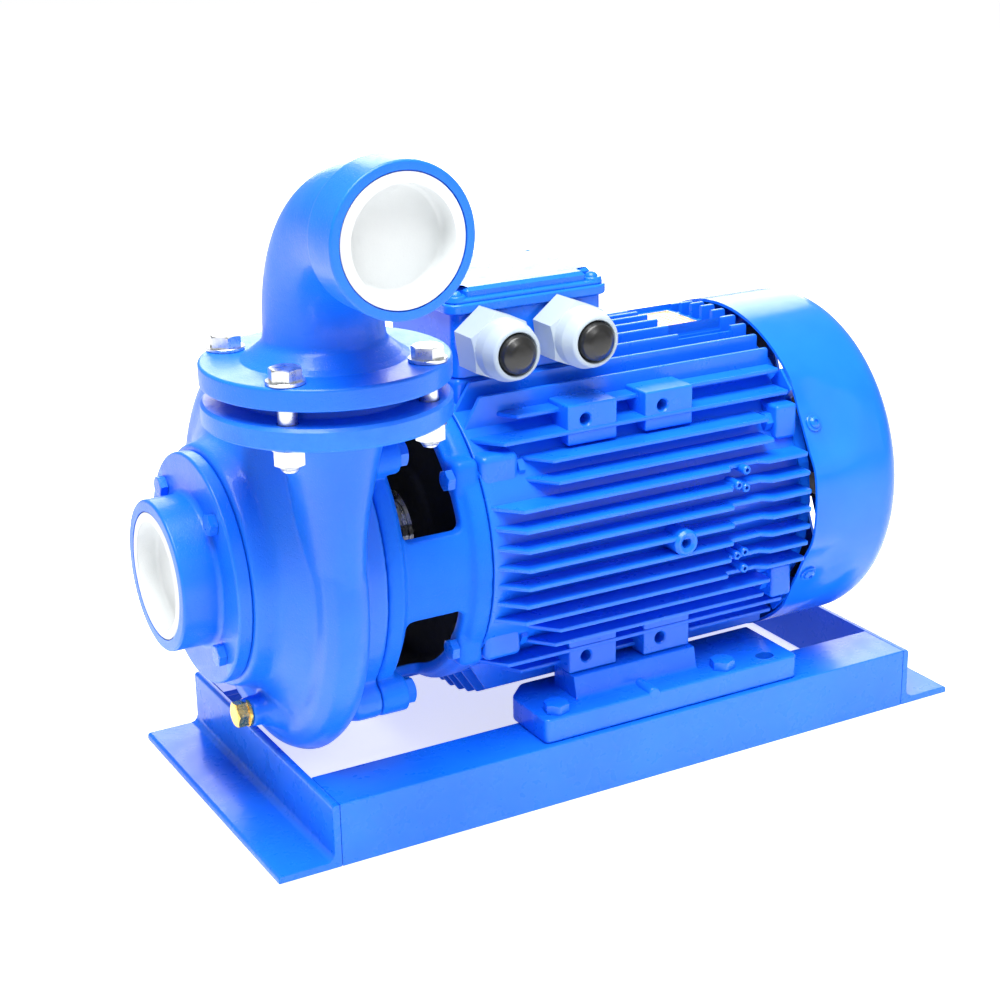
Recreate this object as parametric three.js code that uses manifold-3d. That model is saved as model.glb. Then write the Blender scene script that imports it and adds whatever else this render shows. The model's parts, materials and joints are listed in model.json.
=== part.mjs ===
// Close-coupled centrifugal water pump on a welded angle base, with its three-phase motor.
// Millimetres. +Z is up and +X runs along the shaft from the suction port to the motor's fan.
import * as THREE from "three";
import { mergeVertices } from "three/addons/utils/BufferGeometryUtils.js";
import Module from "manifold-3d";

// ---- Overall sizes and clearances ------------------------------------------------------------
const GAP = 0.3; // between pieces that touch
const ANGLE = { leg: 45, thickness: 5 };
const VOLUTE_RADIUS = 136;
const GROUND_CLEARANCE = 41; // under the volute, which the motor's feet lift to suit
const SHAFT_Z = VOLUTE_RADIUS + GROUND_CLEARANCE; // 132 above the rails, as a size 132 motor stands

// ---- Base ------------------------------------------------------------------------------------
const BASE = { railStart: -59.5, pastHousing: 92.5, halfWidth: 123.5 };
const FOOT = {
  from: 98, to: 313, outer: 119.5, inner: 58, thickness: 17.7, nose: 22,
  riserFrom: 134, riserTo: 236, riserOuter: 97, riserInner: 70, riserGap: 0.5,
  boltY: 108, boltX: 112.9, boltPitch: 140, spareX: 290.9, holeRadius: 5.6,
};
const FOOT_BOLT = { radius: 5, flats: 16, headHeight: 6.6, nutHeight: 8 };

// ---- Pump casing, cover and discharge --------------------------------------------------------
const VOLUTE = { x: -47, radius: VOLUTE_RADIUS, halfWidth: 17, wall: 7 };
const BOSS = {
  front: -92.7, back: -76, radius: VOLUTE.radius - 54, backRadius: VOLUTE.radius - 50, bore: 54.3,
};
const JOINT = { x: -12, ringRadius: 111, ringBack: -29, bore: 97.3 };
const LUG = { circle: 118, radius: 12.5, casingFrom: -29, bracketTo: 8, hole: 5.4 };
const DISCHARGE = { x: -45, y: 34.5 - VOLUTE.radius };
const FLANGE = {
  radius: 77.5, thickness: 14, bottom: SHAFT_Z + VOLUTE.radius - 13.2, gap: 10.2, faceRadius: 54,
  boltCircle: 65.5, holeRadius: 6.8, bore: 30.5, gasket: 1.4, chamfer: 1.2,
};
const FLANGE_BOLT = {
  radius: 6, flats: 18, headHeight: 7.5, washerRadius: 12, washer: 2.2, nutHeight: 10.8, tail: 5,
};
const ELBOW = {
  radius: 37.2, bend: 70, rise: 89, reach: 113.5, bossRadius: 47, bossHeight: 3,
  collarRadius: 44.8, collarLength: 30, collarTaper: 9, socket: 36.6, socketDepth: 21,
};
const SUCTION = { face: -129.5, radius: 51.2, discFront: -102.7, discRadius: 78.5, bore: 41 };
const COVER_BOLT = { circle: 64, radius: 4, flats: 13, headHeight: 5.6, hole: 4.4, length: 20 };
const PLUG = { lip: 1.2, depth: 18, wall: 4.5, floor: 3, overlap: 2.4, below: 0.2 };
const PLUG_SEAT = PLUG.below + PLUG.lip + GAP; // depth of the recess round a port, for the lip
const DRAIN = {
  y: -40, drop: VOLUTE.radius - 43, bossRadius: 10, bossFront: -86, flats: 16, radius: 6,
  headHeight: 8, collar: 2, length: 13,
};

// ---- Bracket between casing and motor --------------------------------------------------------
const BRACKET_END = 65;
const BEARING_SEAT = { bore: 20, outer: 40, width: 18, front: BRACKET_END - 17 };
const SIDE_LUG = {
  outer: 94, inner: 78, low: 47, high: 73, start: BRACKET_END - 18, end: BRACKET_END + 30, hole: 4.4,
};
const BRACKET = {
  end: BRACKET_END, rimWidth: 12, barrel: 105, bore: 96, rearRadius: 109.5, ribHalf: 27.5,
  windowFrom: 4, windowTo: SIDE_LUG.start, wallBack: -3, webFrom: BEARING_SEAT.front + 4,
  hubRadius: 52, lipRadius: 34, lip: 3,
};
const SIDE_SCREW = { radius: 4, flats: 13, headHeight: 5.6, tail: 5 };

// ---- Motor -----------------------------------------------------------------------------------
const HOUSING_LENGTH = 252;
const HOUSING = {
  from: BRACKET.end + 1, to: BRACKET.end + 1 + HOUSING_LENGTH, radius: 109, bore: 101,
};
const BEARING = { ...BEARING_SEAT, rear: HOUSING.to - 19 };
const FIN = { pitch: 13.2, tip: 125, thickness: 3, bevel: 17, count: 5, lugClear: SIDE_LUG.end + 2 };
const PAD = {
  starts: [133, 195], width: 39, outer: 93, inner: 45, low: 69.5, high: 97.5,
  holeFrom: 14, holeHeight: 86.5, holeRadius: 4.2, holeDepth: 22,
};
const EYE = { x: 208, drop: 4, radius: 8, hole: 3.4, end: 121 };
const PEDESTAL = { from: HOUSING.from + 6, to: HOUSING.from + 122, half: 50, top: SHAFT_Z + 115 };
const CORE = {
  from: HOUSING.from + 34, to: HOUSING.to - 38, bore: 62, slots: 6, slotCircle: 80, slotRadius: 5,
};
const WINDING = { overhang: 23, inner: 69, outer: 95 };
const ROTOR = { airGap: 0.5, ring: 6, ringInner: 44 };
const SHIELD = {
  from: HOUSING.to + GAP, thickness: 9, radius: HOUSING.radius, hubRadius: 52, lug: 122.6, lugHalf: 9,
};
const COWL = {
  from: SHIELD.from + 2, to: SHIELD.from + 78.7, radius: 126, wall: 2.2, round: 20,
  slots: 16, slotWidth: 9,
};
const GRILLE = { inner: 26, outer: 92 };
const FAN = {
  from: SHIELD.from + 17.7, to: SHIELD.from + 47.7, hub: 27, disc: 70, discThickness: 4,
  tip: 104, blades: 8, blade: 3,
};
const SHAFT = {
  end: FAN.to + 6, tip: -76, thread: 8, impellerSeat: 12, sealSeat: 17, body: 19.5,
  rotorSeat: 24, fanSeat: 17,
};

// ---- Impeller and seal -----------------------------------------------------------------------
const IMPELLER = {
  radius: VOLUTE.radius - 52, back: -38, backDisc: 4, shroud: 3, passage: 15,
  eyeOuter: SUCTION.bore - 0.6, eyeInner: SUCTION.bore - 6,
  eyeFront: -74, hub: 19, blades: 6, blade: 3.2, sweep: 1.15,
};
const IMPELLER_NUT = { flats: 26, from: -74.5, to: -64 };
const SEAL = { headFrom: -35, face: -17, seatBack: -6.5, headRadius: 29, seatRadius: 30 };

// ---- Terminal box and small parts ------------------------------------------------------------
const BOX = {
  from: PEDESTAL.from, to: PEDESTAL.to, half: PEDESTAL.half, top: PEDESTAL.top + 44, wall: 4, corner: 8,
};
const LID = {
  from: BOX.from - 5, to: BOX.to + 4, half: BOX.half + 3, thickness: 9.7, panel: 7, inset: 14, corner: 10,
};
const GLAND = {
  xs: [BOX.from + 20, BOX.from + 80], z: BOX.top - 18.5, thread: 15.7, flats: 42,
  hexTo: -LID.half - 14, nutRadius: 22.8, end: -LID.half - 46,
  mouth: 16.5, bore: 13.9, boreDepth: 22,
};
const DOME = { radius: 13.5, bulge: 7.5, length: 20 };
const BOARD = { half: 30, depth: 24, height: 10, post: 3, postHeight: 12, pitch: 20 };
const NAMEPLATE = {
  from: HOUSING.to - 54, to: HOUSING.to - 20, low: -20, high: 33, z: SHAFT_Z + HOUSING.radius + 0.8,
  thickness: 1, margin: 4,
};

const RAIL_END = HOUSING.to + BASE.pastHousing;

// The frame's origin is the middle of the box that holds the pump, on the ground.
const END_X = RAIL_END + GAP + ANGLE.leg;
const OUTLET_Y = DISCHARGE.y - ELBOW.reach;
const FRAME_SHIFT = [-(SUCTION.face + END_X) / 2, -(OUTLET_Y + VOLUTE.radius) / 2, 0];

// Facets round a large, a middling and a small turned shape.
const FINE = 24;
const ROUND = 16;
const SMALL = 8;

// ---- Solid modelling helpers -----------------------------------------------------------------
const wasm = await Module();
wasm.setup();

function solid(geometry) {
  const bare = new THREE.BufferGeometry();
  bare.setAttribute("position", geometry.getAttribute("position"));
  if (geometry.index) bare.setIndex(geometry.index);
  const merged = mergeVertices(bare, 1e-4);
  const index = merged.index.array;
  const triangles = [];
  for (let i = 0; i < index.length; i += 3) {
    const [a, b, c] = [index[i], index[i + 1], index[i + 2]];
    if (a !== b && b !== c && c !== a) triangles.push(a, b, c);
  }
  const vertProperties = new Float32Array(merged.getAttribute("position").array);
  const make = (triVerts) =>
    new wasm.Manifold(new wasm.Mesh({ numProp: 3, vertProperties, triVerts: Uint32Array.from(triVerts) }));
  const made = make(triangles);
  return made.volume() < 0 ? make(triangles.reverse()) : made;
}

const union = (...solids) => solids.flat().reduce((sum, next) => sum.add(next));
const cut = (body, ...tools) => body.subtract(union(...tools));
const place = (body, x, y, z) => body.translate([x, y, z]);
const onShaft = (body) => place(body, 0, 0, SHAFT_Z);
const mirrorY = (body) => body.mirror([0, 1, 0]);

function box(x0, x1, y0, y1, z0, z1) {
  const geometry = new THREE.BoxGeometry(x1 - x0, y1 - y0, z1 - z0);
  geometry.translate((x0 + x1) / 2, (y0 + y1) / 2, (z0 + z1) / 2);
  return solid(geometry);
}

// A closed profile of [station, radius] points revolved about the named axis.
function turned(axis, profile, segments = ROUND) {
  const points = [...profile, profile[0]].map(([station, radius]) => new THREE.Vector2(radius, station));
  const geometry = new THREE.LatheGeometry(points, segments);
  if (axis === "x") geometry.rotateZ(-Math.PI / 2);
  if (axis === "z") geometry.rotateX(Math.PI / 2);
  return solid(geometry);
}

const rod = (axis, from, to, radius, segments = SMALL) =>
  turned(axis, [[from, 0], [from, radius], [to, radius], [to, 0]], segments);
const ring = (axis, from, to, outer, inner, segments = ROUND) =>
  turned(axis, [[from, inner], [from, outer], [to, outer], [to, inner]], segments);
// The corner radius of a faceted hole whose flats keep clear of a turning piece.
const clearing = (radius, segments = ROUND) => radius / Math.cos(Math.PI / segments);
const hex = (axis, from, to, flats) => rod(axis, from, to, flats / Math.sqrt(3), 6);

// An outline of [u, v] points drawn out along the axis that is left over.
const BASES = {
  x: [new THREE.Vector3(0, 1, 0), new THREE.Vector3(0, 0, 1), new THREE.Vector3(1, 0, 0)],
  y: [new THREE.Vector3(1, 0, 0), new THREE.Vector3(0, 0, 1), new THREE.Vector3(0, 1, 0)],
  z: [new THREE.Vector3(1, 0, 0), new THREE.Vector3(0, 1, 0), new THREE.Vector3(0, 0, 1)],
};
function drawn(axis, outline, from, to, curveSegments = 3) {
  const shape = Array.isArray(outline)
    ? new THREE.Shape(outline.map(([u, v]) => new THREE.Vector2(u, v)))
    : outline;
  const settings = { depth: to - from, bevelEnabled: false, curveSegments };
  const geometry = new THREE.ExtrudeGeometry(shape, settings);
  geometry.translate(0, 0, from);
  geometry.applyMatrix4(new THREE.Matrix4().makeBasis(...BASES[axis]));
  return solid(geometry);
}

function roundedRectangle(x0, x1, y0, y1, corner) {
  const shape = new THREE.Shape();
  shape.moveTo(x0 + corner, y0);
  shape.lineTo(x1 - corner, y0);
  shape.absarc(x1 - corner, y0 + corner, corner, -Math.PI / 2, 0);
  shape.lineTo(x1, y1 - corner);
  shape.absarc(x1 - corner, y1 - corner, corner, 0, Math.PI / 2);
  shape.lineTo(x0 + corner, y1);
  shape.absarc(x0 + corner, y1 - corner, corner, Math.PI / 2, Math.PI);
  shape.lineTo(x0, y0 + corner);
  shape.absarc(x0 + corner, y0 + corner, corner, Math.PI, Math.PI * 1.5);
  return shape;
}

// Level sections {z, x, y, halfX, halfY}, each an oval, joined into one body.
function lofted(sections, steps = 16) {
  const positions = [];
  const triangles = [];
  for (const { z, x, y, halfX, halfY } of sections)
    for (let i = 0; i < steps; i++) {
      const angle = (i / steps) * 2 * Math.PI;
      positions.push(x + halfX * Math.cos(angle), y + halfY * Math.sin(angle), z);
    }
  const last = (sections.length - 1) * steps;
  for (let i = 0; i < steps; i++) {
    const j = (i + 1) % steps;
    for (let level = 0; level < last; level += steps) {
      triangles.push(level + i, level + j, level + steps + j);
      triangles.push(level + i, level + steps + j, level + steps + i);
    }
    if (i > 0 && i < steps - 1) {
      triangles.push(0, i + 1, i);
      triangles.push(last, last + i, last + i + 1);
    }
  }
  const geometry = new THREE.BufferGeometry();
  geometry.setAttribute("position", new THREE.Float32BufferAttribute(positions, 3));
  geometry.setIndex(triangles);
  return solid(geometry);
}

const QUADRANTS = [[-1, -1], [-1, 1], [1, 1], [1, -1]];
const onCircle = (radius) =>
  QUADRANTS.map(([u, v]) => [u * radius * Math.SQRT1_2, v * radius * Math.SQRT1_2]);

const MERGE = 0.02; // edges shorter than this, left where curved bodies cross, are closed up

const group = new THREE.Group();
function addPart(name, body, material) {
  const mesh = body.simplify(MERGE).getMesh();
  const geometry = new THREE.BufferGeometry();
  geometry.setAttribute("position", new THREE.Float32BufferAttribute(mesh.vertProperties, 3));
  geometry.setIndex([...mesh.triVerts]);
  geometry.computeVertexNormals();
  const part = new THREE.Mesh(geometry, material);
  part.name = name;
  part.position.set(...FRAME_SHIFT);
  group.add(part);
}

const finish = (color, metalness, roughness) =>
  new THREE.MeshStandardMaterial({ color, metalness, roughness, flatShading: true });
const BLUE = finish(0x1f5fd0, 0.1, 0.4);
const ZINC = finish(0xc9ccd0, 0.9, 0.35);
const STEEL = finish(0x9a9da2, 0.9, 0.4);
const IRON = finish(0x6b6f75, 0.6, 0.6);
const COPPER = finish(0xb5652f, 0.7, 0.4);
const BRASS = finish(0xd2a63c, 0.9, 0.3);
const WHITE = finish(0xf2f3f4, 0, 0.5);
const GREY = finish(0xb9c0c6, 0, 0.5);
const BLACK = finish(0x1b1c1c, 0, 0.6);

// ---- Base: two rails and two end angles ------------------------------------------------------
{
  const { railStart, halfWidth } = BASE;
  const railEnd = RAIL_END;
  const { leg, thickness } = ANGLE;
  const profile = [
    [-halfWidth, 0], [-halfWidth + thickness, 0], [-halfWidth + thickness, leg - thickness],
    [-halfWidth + leg, leg - thickness], [-halfWidth + leg, leg], [-halfWidth, leg],
  ];
  const holes = [FOOT.boltX, FOOT.boltX + FOOT.boltPitch].map((x) =>
    place(rod("z", leg - 2 * thickness, leg + thickness, FOOT.holeRadius), x, -FOOT.boltY, 0));
  const rail = cut(drawn("x", profile, railStart, railEnd), ...holes);
  addPart("front_rail", rail, BLUE);
  addPart("rear_rail", mirrorY(rail), BLUE);
  const endAngle = (x, away) => drawn("y", [
    [x, 0], [x, leg], [x + away * thickness, leg], [x + away * thickness, thickness],
    [x + away * leg, thickness], [x + away * leg, 0],
  ], -halfWidth, halfWidth);
  addPart("pump_end_angle", endAngle(railStart - GAP, -1), BLUE);
  addPart("motor_end_angle", endAngle(railEnd + GAP, 1), BLUE);
}

// ---- Motor feet and their bolts --------------------------------------------------------------
{
  const bottom = ANGLE.leg + GAP;
  const top = bottom + FOOT.thickness;
  const plan = new THREE.Shape();
  plan.moveTo(FOOT.from + FOOT.nose, -FOOT.outer);
  plan.lineTo(FOOT.to - FOOT.nose / 2, -FOOT.outer);
  plan.lineTo(FOOT.to, -FOOT.outer + FOOT.nose / 2);
  plan.lineTo(FOOT.to, -FOOT.inner);
  plan.lineTo(FOOT.from + FOOT.nose * 2, -FOOT.inner);
  plan.lineTo(FOOT.from + FOOT.nose / 3, -FOOT.outer + FOOT.nose * 1.6);
  plan.absarc(FOOT.from + FOOT.nose, -FOOT.outer + FOOT.nose, FOOT.nose, Math.PI * 0.85, Math.PI * 1.5);
  const riserTop = SHAFT_Z - PAD.high - FOOT.riserGap;
  const riser = drawn("x", [
    [-FOOT.riserOuter - 4, top - 1], [-FOOT.riserOuter, riserTop],
    [-FOOT.riserInner, riserTop], [-FOOT.riserInner, top - 1],
  ], FOOT.riserFrom, FOOT.riserTo);
  const holes = [FOOT.boltX, FOOT.boltX + FOOT.boltPitch, FOOT.spareX].map((x) =>
    place(rod("z", bottom - 1, top + 1, FOOT.holeRadius), x, -FOOT.boltY, 0));
  const foot = cut(union(drawn("z", plan, bottom, top), riser), ...holes);
  addPart("front_foot", foot, BLUE);
  addPart("rear_foot", mirrorY(foot), BLUE);
  const underRail = ANGLE.leg - ANGLE.thickness - GAP;
  const bolt = union(
    hex("z", top + GAP, top + GAP + FOOT_BOLT.headHeight, FOOT_BOLT.flats),
    rod("z", underRail - FOOT_BOLT.nutHeight - 2, top + 1, FOOT_BOLT.radius),
    hex("z", underRail - FOOT_BOLT.nutHeight, underRail, FOOT_BOLT.flats),
  );
  [[0, -1], [0, 1], [1, 1], [1, -1]].forEach(([step, side], i) =>
    addPart(`foot_bolt_${i + 1}`,
      place(bolt, FOOT.boltX + step * FOOT.boltPitch, side * FOOT.boltY, 0), BLUE));
}

// ---- Volute casing ---------------------------------------------------------------------------
const flangeTop = FLANGE.bottom + FLANGE.thickness;
const faceTop = flangeTop + (FLANGE.gap - FLANGE.gasket) / 2 - GAP;
const boltHoles = (from, to) => onCircle(FLANGE.boltCircle).map(([x, y]) =>
  place(rod("z", from, to, FLANGE.holeRadius), DISCHARGE.x + x, DISCHARGE.y + y, 0));
const flangeDisc = (bottom, top) => {
  const { radius, chamfer } = FLANGE;
  return place(turned("z", [
    [bottom, 0], [bottom, radius - chamfer], [bottom + chamfer, radius], [top - chamfer, radius],
    [top, radius - chamfer], [top, 0],
  ], FINE), DISCHARGE.x, DISCHARGE.y, 0);
};
{
  const { x, radius, halfWidth, wall } = VOLUTE;
  // Points round the volute's tube, from its front shoulder over the rim to its back shoulder.
  const over = (tip, half, inner, steps) => Array.from({ length: steps + 1 }, (_, i) => {
    const angle = Math.PI * (1 - i / steps);
    return [x + half * Math.cos(angle), inner + (tip - inner) * Math.sin(angle)];
  });
  const outer = [
    [BOSS.front, BOSS.bore], [BOSS.front, BOSS.radius], [BOSS.back, BOSS.backRadius],
    ...over(radius, halfWidth, radius - 24, 4),
    [JOINT.ringBack, JOINT.ringRadius], [JOINT.x - GAP, JOINT.ringRadius],
  ];
  const inner = [
    [JOINT.x - GAP, JOINT.bore], [JOINT.ringBack + 3, JOINT.bore],
    ...over(radius - wall, halfWidth - wall + 1, radius - 34, 2).reverse(),
    [BOSS.back + 8, IMPELLER.radius + 4], [BOSS.back + 8, BOSS.bore],
  ];
  const shell = onShaft(turned("x", [...outer, ...inner], FINE));
  const neck = (thin) => lofted([
    { z: SHAFT_Z, x, y: DISCHARGE.y, halfX: halfWidth - thin, halfY: 33 - thin },
    { z: SHAFT_Z + 45, x, y: DISCHARGE.y, halfX: halfWidth + 2 - thin, halfY: 34 - thin },
    { z: SHAFT_Z + 82, x: DISCHARGE.x, y: DISCHARGE.y, halfX: 25 - thin, halfY: 36 - thin },
    { z: FLANGE.bottom - 12, x: DISCHARGE.x, y: DISCHARGE.y, halfX: 34 - thin, halfY: 37.5 - thin },
    { z: FLANGE.bottom + 1, x: DISCHARGE.x, y: DISCHARGE.y, halfX: 38 - thin, halfY: 38 - thin },
  ]);
  const lugs = onCircle(LUG.circle).map(([y, z]) => place(
    rod("x", LUG.casingFrom, JOINT.x - GAP, LUG.radius, 12), 0, y, SHAFT_Z + z));
  const lugHoles = onCircle(LUG.circle).map(([y, z]) => place(
    rod("x", LUG.casingFrom - 30, JOINT.x + 1, LUG.hole), 0, y, SHAFT_Z + z));
  const coverHoles = onCircle(COVER_BOLT.circle).map(([y, z]) => place(
    rod("x", BOSS.front - 1, BOSS.front + COVER_BOLT.length - 6, COVER_BOLT.hole), 0, y, SHAFT_Z + z));
  const drainZ = SHAFT_Z - DRAIN.drop;
  const drainBoss = place(rod("x", DRAIN.bossFront, x - 12, DRAIN.bossRadius, 12), 0, DRAIN.y, drainZ);
  const drainHole = place(rod("x", DRAIN.bossFront - 1, x, DRAIN.radius + GAP), 0, DRAIN.y, drainZ);
  const roomy = IMPELLER.radius + 14;
  const cavity = onShaft(turned("x", [
    [BOSS.back + 8, 0], [BOSS.back + 8, roomy], [IMPELLER.back + 2, roomy],
    [JOINT.ringBack + 3, JOINT.bore], [JOINT.x + 5, JOINT.bore], [JOINT.x + 5, 0],
  ]));
  const onDischarge = (shape) => place(shape, DISCHARGE.x, DISCHARGE.y, 0);
  const raised = onDischarge(rod("z", flangeTop - 1, faceTop, FLANGE.faceRadius, ROUND));
  const mouth = onDischarge(rod("z", FLANGE.bottom - 1, faceTop + 1, FLANGE.bore, 16));
  const body = union(shell, neck(0), flangeDisc(FLANGE.bottom, flangeTop), raised, ...lugs, drainBoss);
  const casing = cut(body, neck(wall), mouth, cavity, ...lugHoles, ...coverHoles,
    drainHole, ...boltHoles(FLANGE.bottom - 30, flangeTop + 1));
  addPart("volute_casing", casing, BLUE);
  const seat = DRAIN.bossFront - DRAIN.collar;
  const plug = union(
    hex("x", seat - GAP - DRAIN.headHeight, seat, DRAIN.flats),
    rod("x", seat - GAP, DRAIN.bossFront - GAP, DRAIN.bossRadius - 0.6, 12),
    rod("x", DRAIN.bossFront - GAP - 1, DRAIN.bossFront + DRAIN.length, DRAIN.radius),
  );
  addPart("drain_plug", place(plug, 0, DRAIN.y, drainZ), BRASS);
}

// ---- Suction cover, its bolts and the port plugs ---------------------------------------------
// The plug's profile about a port's axis: a lip on the face, a cup inside the bore.
const portPlug = (axis, bore) => {
  const body = bore - GAP;
  const inside = body - PLUG.wall;
  return turned(axis, [
    [0, inside + 1], [0, body + PLUG.overlap], [PLUG.lip, body + PLUG.overlap], [PLUG.lip, body],
    [PLUG.depth, body - 0.6], [PLUG.depth, 0], [PLUG.depth - PLUG.floor, 0],
    [PLUG.depth - PLUG.floor, inside - 0.6],
  ], FINE);
};
{
  const back = BOSS.front - GAP;
  const cover = onShaft(turned("x", [
    [SUCTION.face, SUCTION.bore + PLUG.overlap], [SUCTION.face, SUCTION.radius - 1.5],
    [SUCTION.face + 1.5, SUCTION.radius], [SUCTION.discFront - 3, SUCTION.radius],
    [SUCTION.discFront, SUCTION.radius + 3], [SUCTION.discFront, SUCTION.discRadius - 1.5],
    [SUCTION.discFront + 1.5, SUCTION.discRadius], [back, SUCTION.discRadius],
    [back, BOSS.bore - GAP], [BOSS.back + 4, BOSS.bore - GAP], [BOSS.back + 4, SUCTION.bore],
    [SUCTION.face + PLUG_SEAT, SUCTION.bore], [SUCTION.face + PLUG_SEAT, SUCTION.bore + PLUG.overlap],
  ], FINE));
  const holes = onCircle(COVER_BOLT.circle).map(([y, z]) => place(
    rod("x", SUCTION.discFront - 1, back + 1, COVER_BOLT.hole), 0, y, SHAFT_Z + z));
  addPart("suction_cover", cut(cover, ...holes), BLUE);
  const seat = SUCTION.discFront - GAP;
  const bolt = union(
    hex("x", seat - COVER_BOLT.headHeight, seat, COVER_BOLT.flats),
    rod("x", seat - 1, seat + COVER_BOLT.length, COVER_BOLT.radius),
  );
  onCircle(COVER_BOLT.circle).forEach(([y, z], i) =>
    addPart(`cover_bolt_${i + 1}`, place(bolt, 0, y, SHAFT_Z + z), BLUE));
  addPart("suction_port_plug", place(portPlug("x", SUCTION.bore), SUCTION.face + PLUG.below, 0, SHAFT_Z), WHITE);
}

// ---- Discharge elbow, gasket, bolts and nuts -------------------------------------------------
{
  const bottom = flangeTop + FLANGE.gap;
  const top = bottom + FLANGE.thickness;
  const face = bottom - (FLANGE.gap - FLANGE.gasket) / 2 + GAP;
  const axisZ = top + ELBOW.rise;
  const outletY = OUTLET_Y;
  const bendY = DISCHARGE.y - ELBOW.bend;
  const bendZ = axisZ - ELBOW.bend;
  const { x } = DISCHARGE;
  const bendOf = (radius, steps) => {
    const circle = Array.from({ length: steps }, (_, i) => {
      const angle = (i / steps) * 2 * Math.PI;
      return [radius * Math.sin(angle), ELBOW.bend + radius * Math.cos(angle)];
    });
    const whole = place(turned("x", circle, ROUND), x, bendY, bendZ);
    const reach = ELBOW.bend + radius + 1;
    const into = 0.05; // past the quarter turn at each end, so that the straights join it
    return whole.intersect(box(
      x - reach, x + reach, bendY - into, bendY + reach, bendZ - into, bendZ + reach));
  };
  const steps = 16;
  const pipe = (radius) => union(
    place(rod("z", top - 1, bendZ, radius, steps), x, DISCHARGE.y, 0),
    bendOf(radius, steps),
    place(rod("y", outletY + ELBOW.socketDepth - 1, bendY, radius, steps), x, 0, axisZ),
  );
  const boss = place(turned("z", [
    [top - 1, 0], [top - 1, ELBOW.bossRadius + 1], [top + ELBOW.bossHeight, ELBOW.bossRadius],
    [top + ELBOW.bossHeight + 9, ELBOW.radius], [top + ELBOW.bossHeight + 9, 0],
  ]), x, DISCHARGE.y, 0);
  const collarEnd = outletY + ELBOW.collarLength;
  const collar = place(turned("y", [
    [outletY, 0], [outletY, ELBOW.collarRadius - 1], [outletY + 1, ELBOW.collarRadius],
    [collarEnd, ELBOW.collarRadius], [collarEnd + ELBOW.collarTaper, ELBOW.radius],
    [collarEnd + ELBOW.collarTaper, 0],
  ], FINE), x, 0, axisZ);
  const raised = place(rod("z", face, bottom + 1, FLANGE.faceRadius, ROUND), x, DISCHARGE.y, 0);
  const socket = place(union(
    rod("y", outletY - 1, outletY + ELBOW.socketDepth, ELBOW.socket, FINE),
    rod("y", outletY - 1, outletY + PLUG_SEAT, ELBOW.socket + PLUG.overlap, FINE),
  ), x, 0, axisZ);
  const entry = place(rod("z", face - 1, top, FLANGE.bore, steps), x, DISCHARGE.y, 0);
  const elbow = cut(union(pipe(ELBOW.radius), flangeDisc(bottom, top), boss, collar, raised),
    pipe(FLANGE.bore), socket, entry, ...boltHoles(bottom - 5, top + 9));
  addPart("discharge_elbow", elbow, BLUE);
  addPart("discharge_port_plug", place(portPlug("y", ELBOW.socket), x, outletY + PLUG.below, axisZ), WHITE);
  addPart("discharge_gasket",
    place(ring("z", faceTop + GAP, face - GAP, FLANGE.faceRadius, FLANGE.bore), x, DISCHARGE.y, 0), BLACK);

  const { radius, flats, headHeight, washerRadius, washer, nutHeight, tail } = FLANGE_BOLT;
  const under = FLANGE.bottom - GAP;
  const nutTop = under - washer;
  const bolt = union(
    hex("z", top + GAP + washer - 0.2, top + GAP + washer + headHeight, flats),
    rod("z", top + GAP, top + GAP + washer, washerRadius, 12),
    rod("z", nutTop - nutHeight - tail, top + 1, radius),
  );
  const nut = cut(
    union(rod("z", nutTop, under, washerRadius, 12), hex("z", nutTop - nutHeight, nutTop + 0.2, flats)),
    rod("z", nutTop - nutHeight - 1, under + 1, radius + GAP),
  );
  onCircle(FLANGE.boltCircle).forEach(([u, v], i) => {
    addPart(`flange_bolt_${i + 1}`, place(bolt, x + u, DISCHARGE.y + v, 0), ZINC);
    addPart(`flange_nut_${i + 1}`, place(nut, x + u, DISCHARGE.y + v, 0), ZINC);
  });
}

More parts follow.
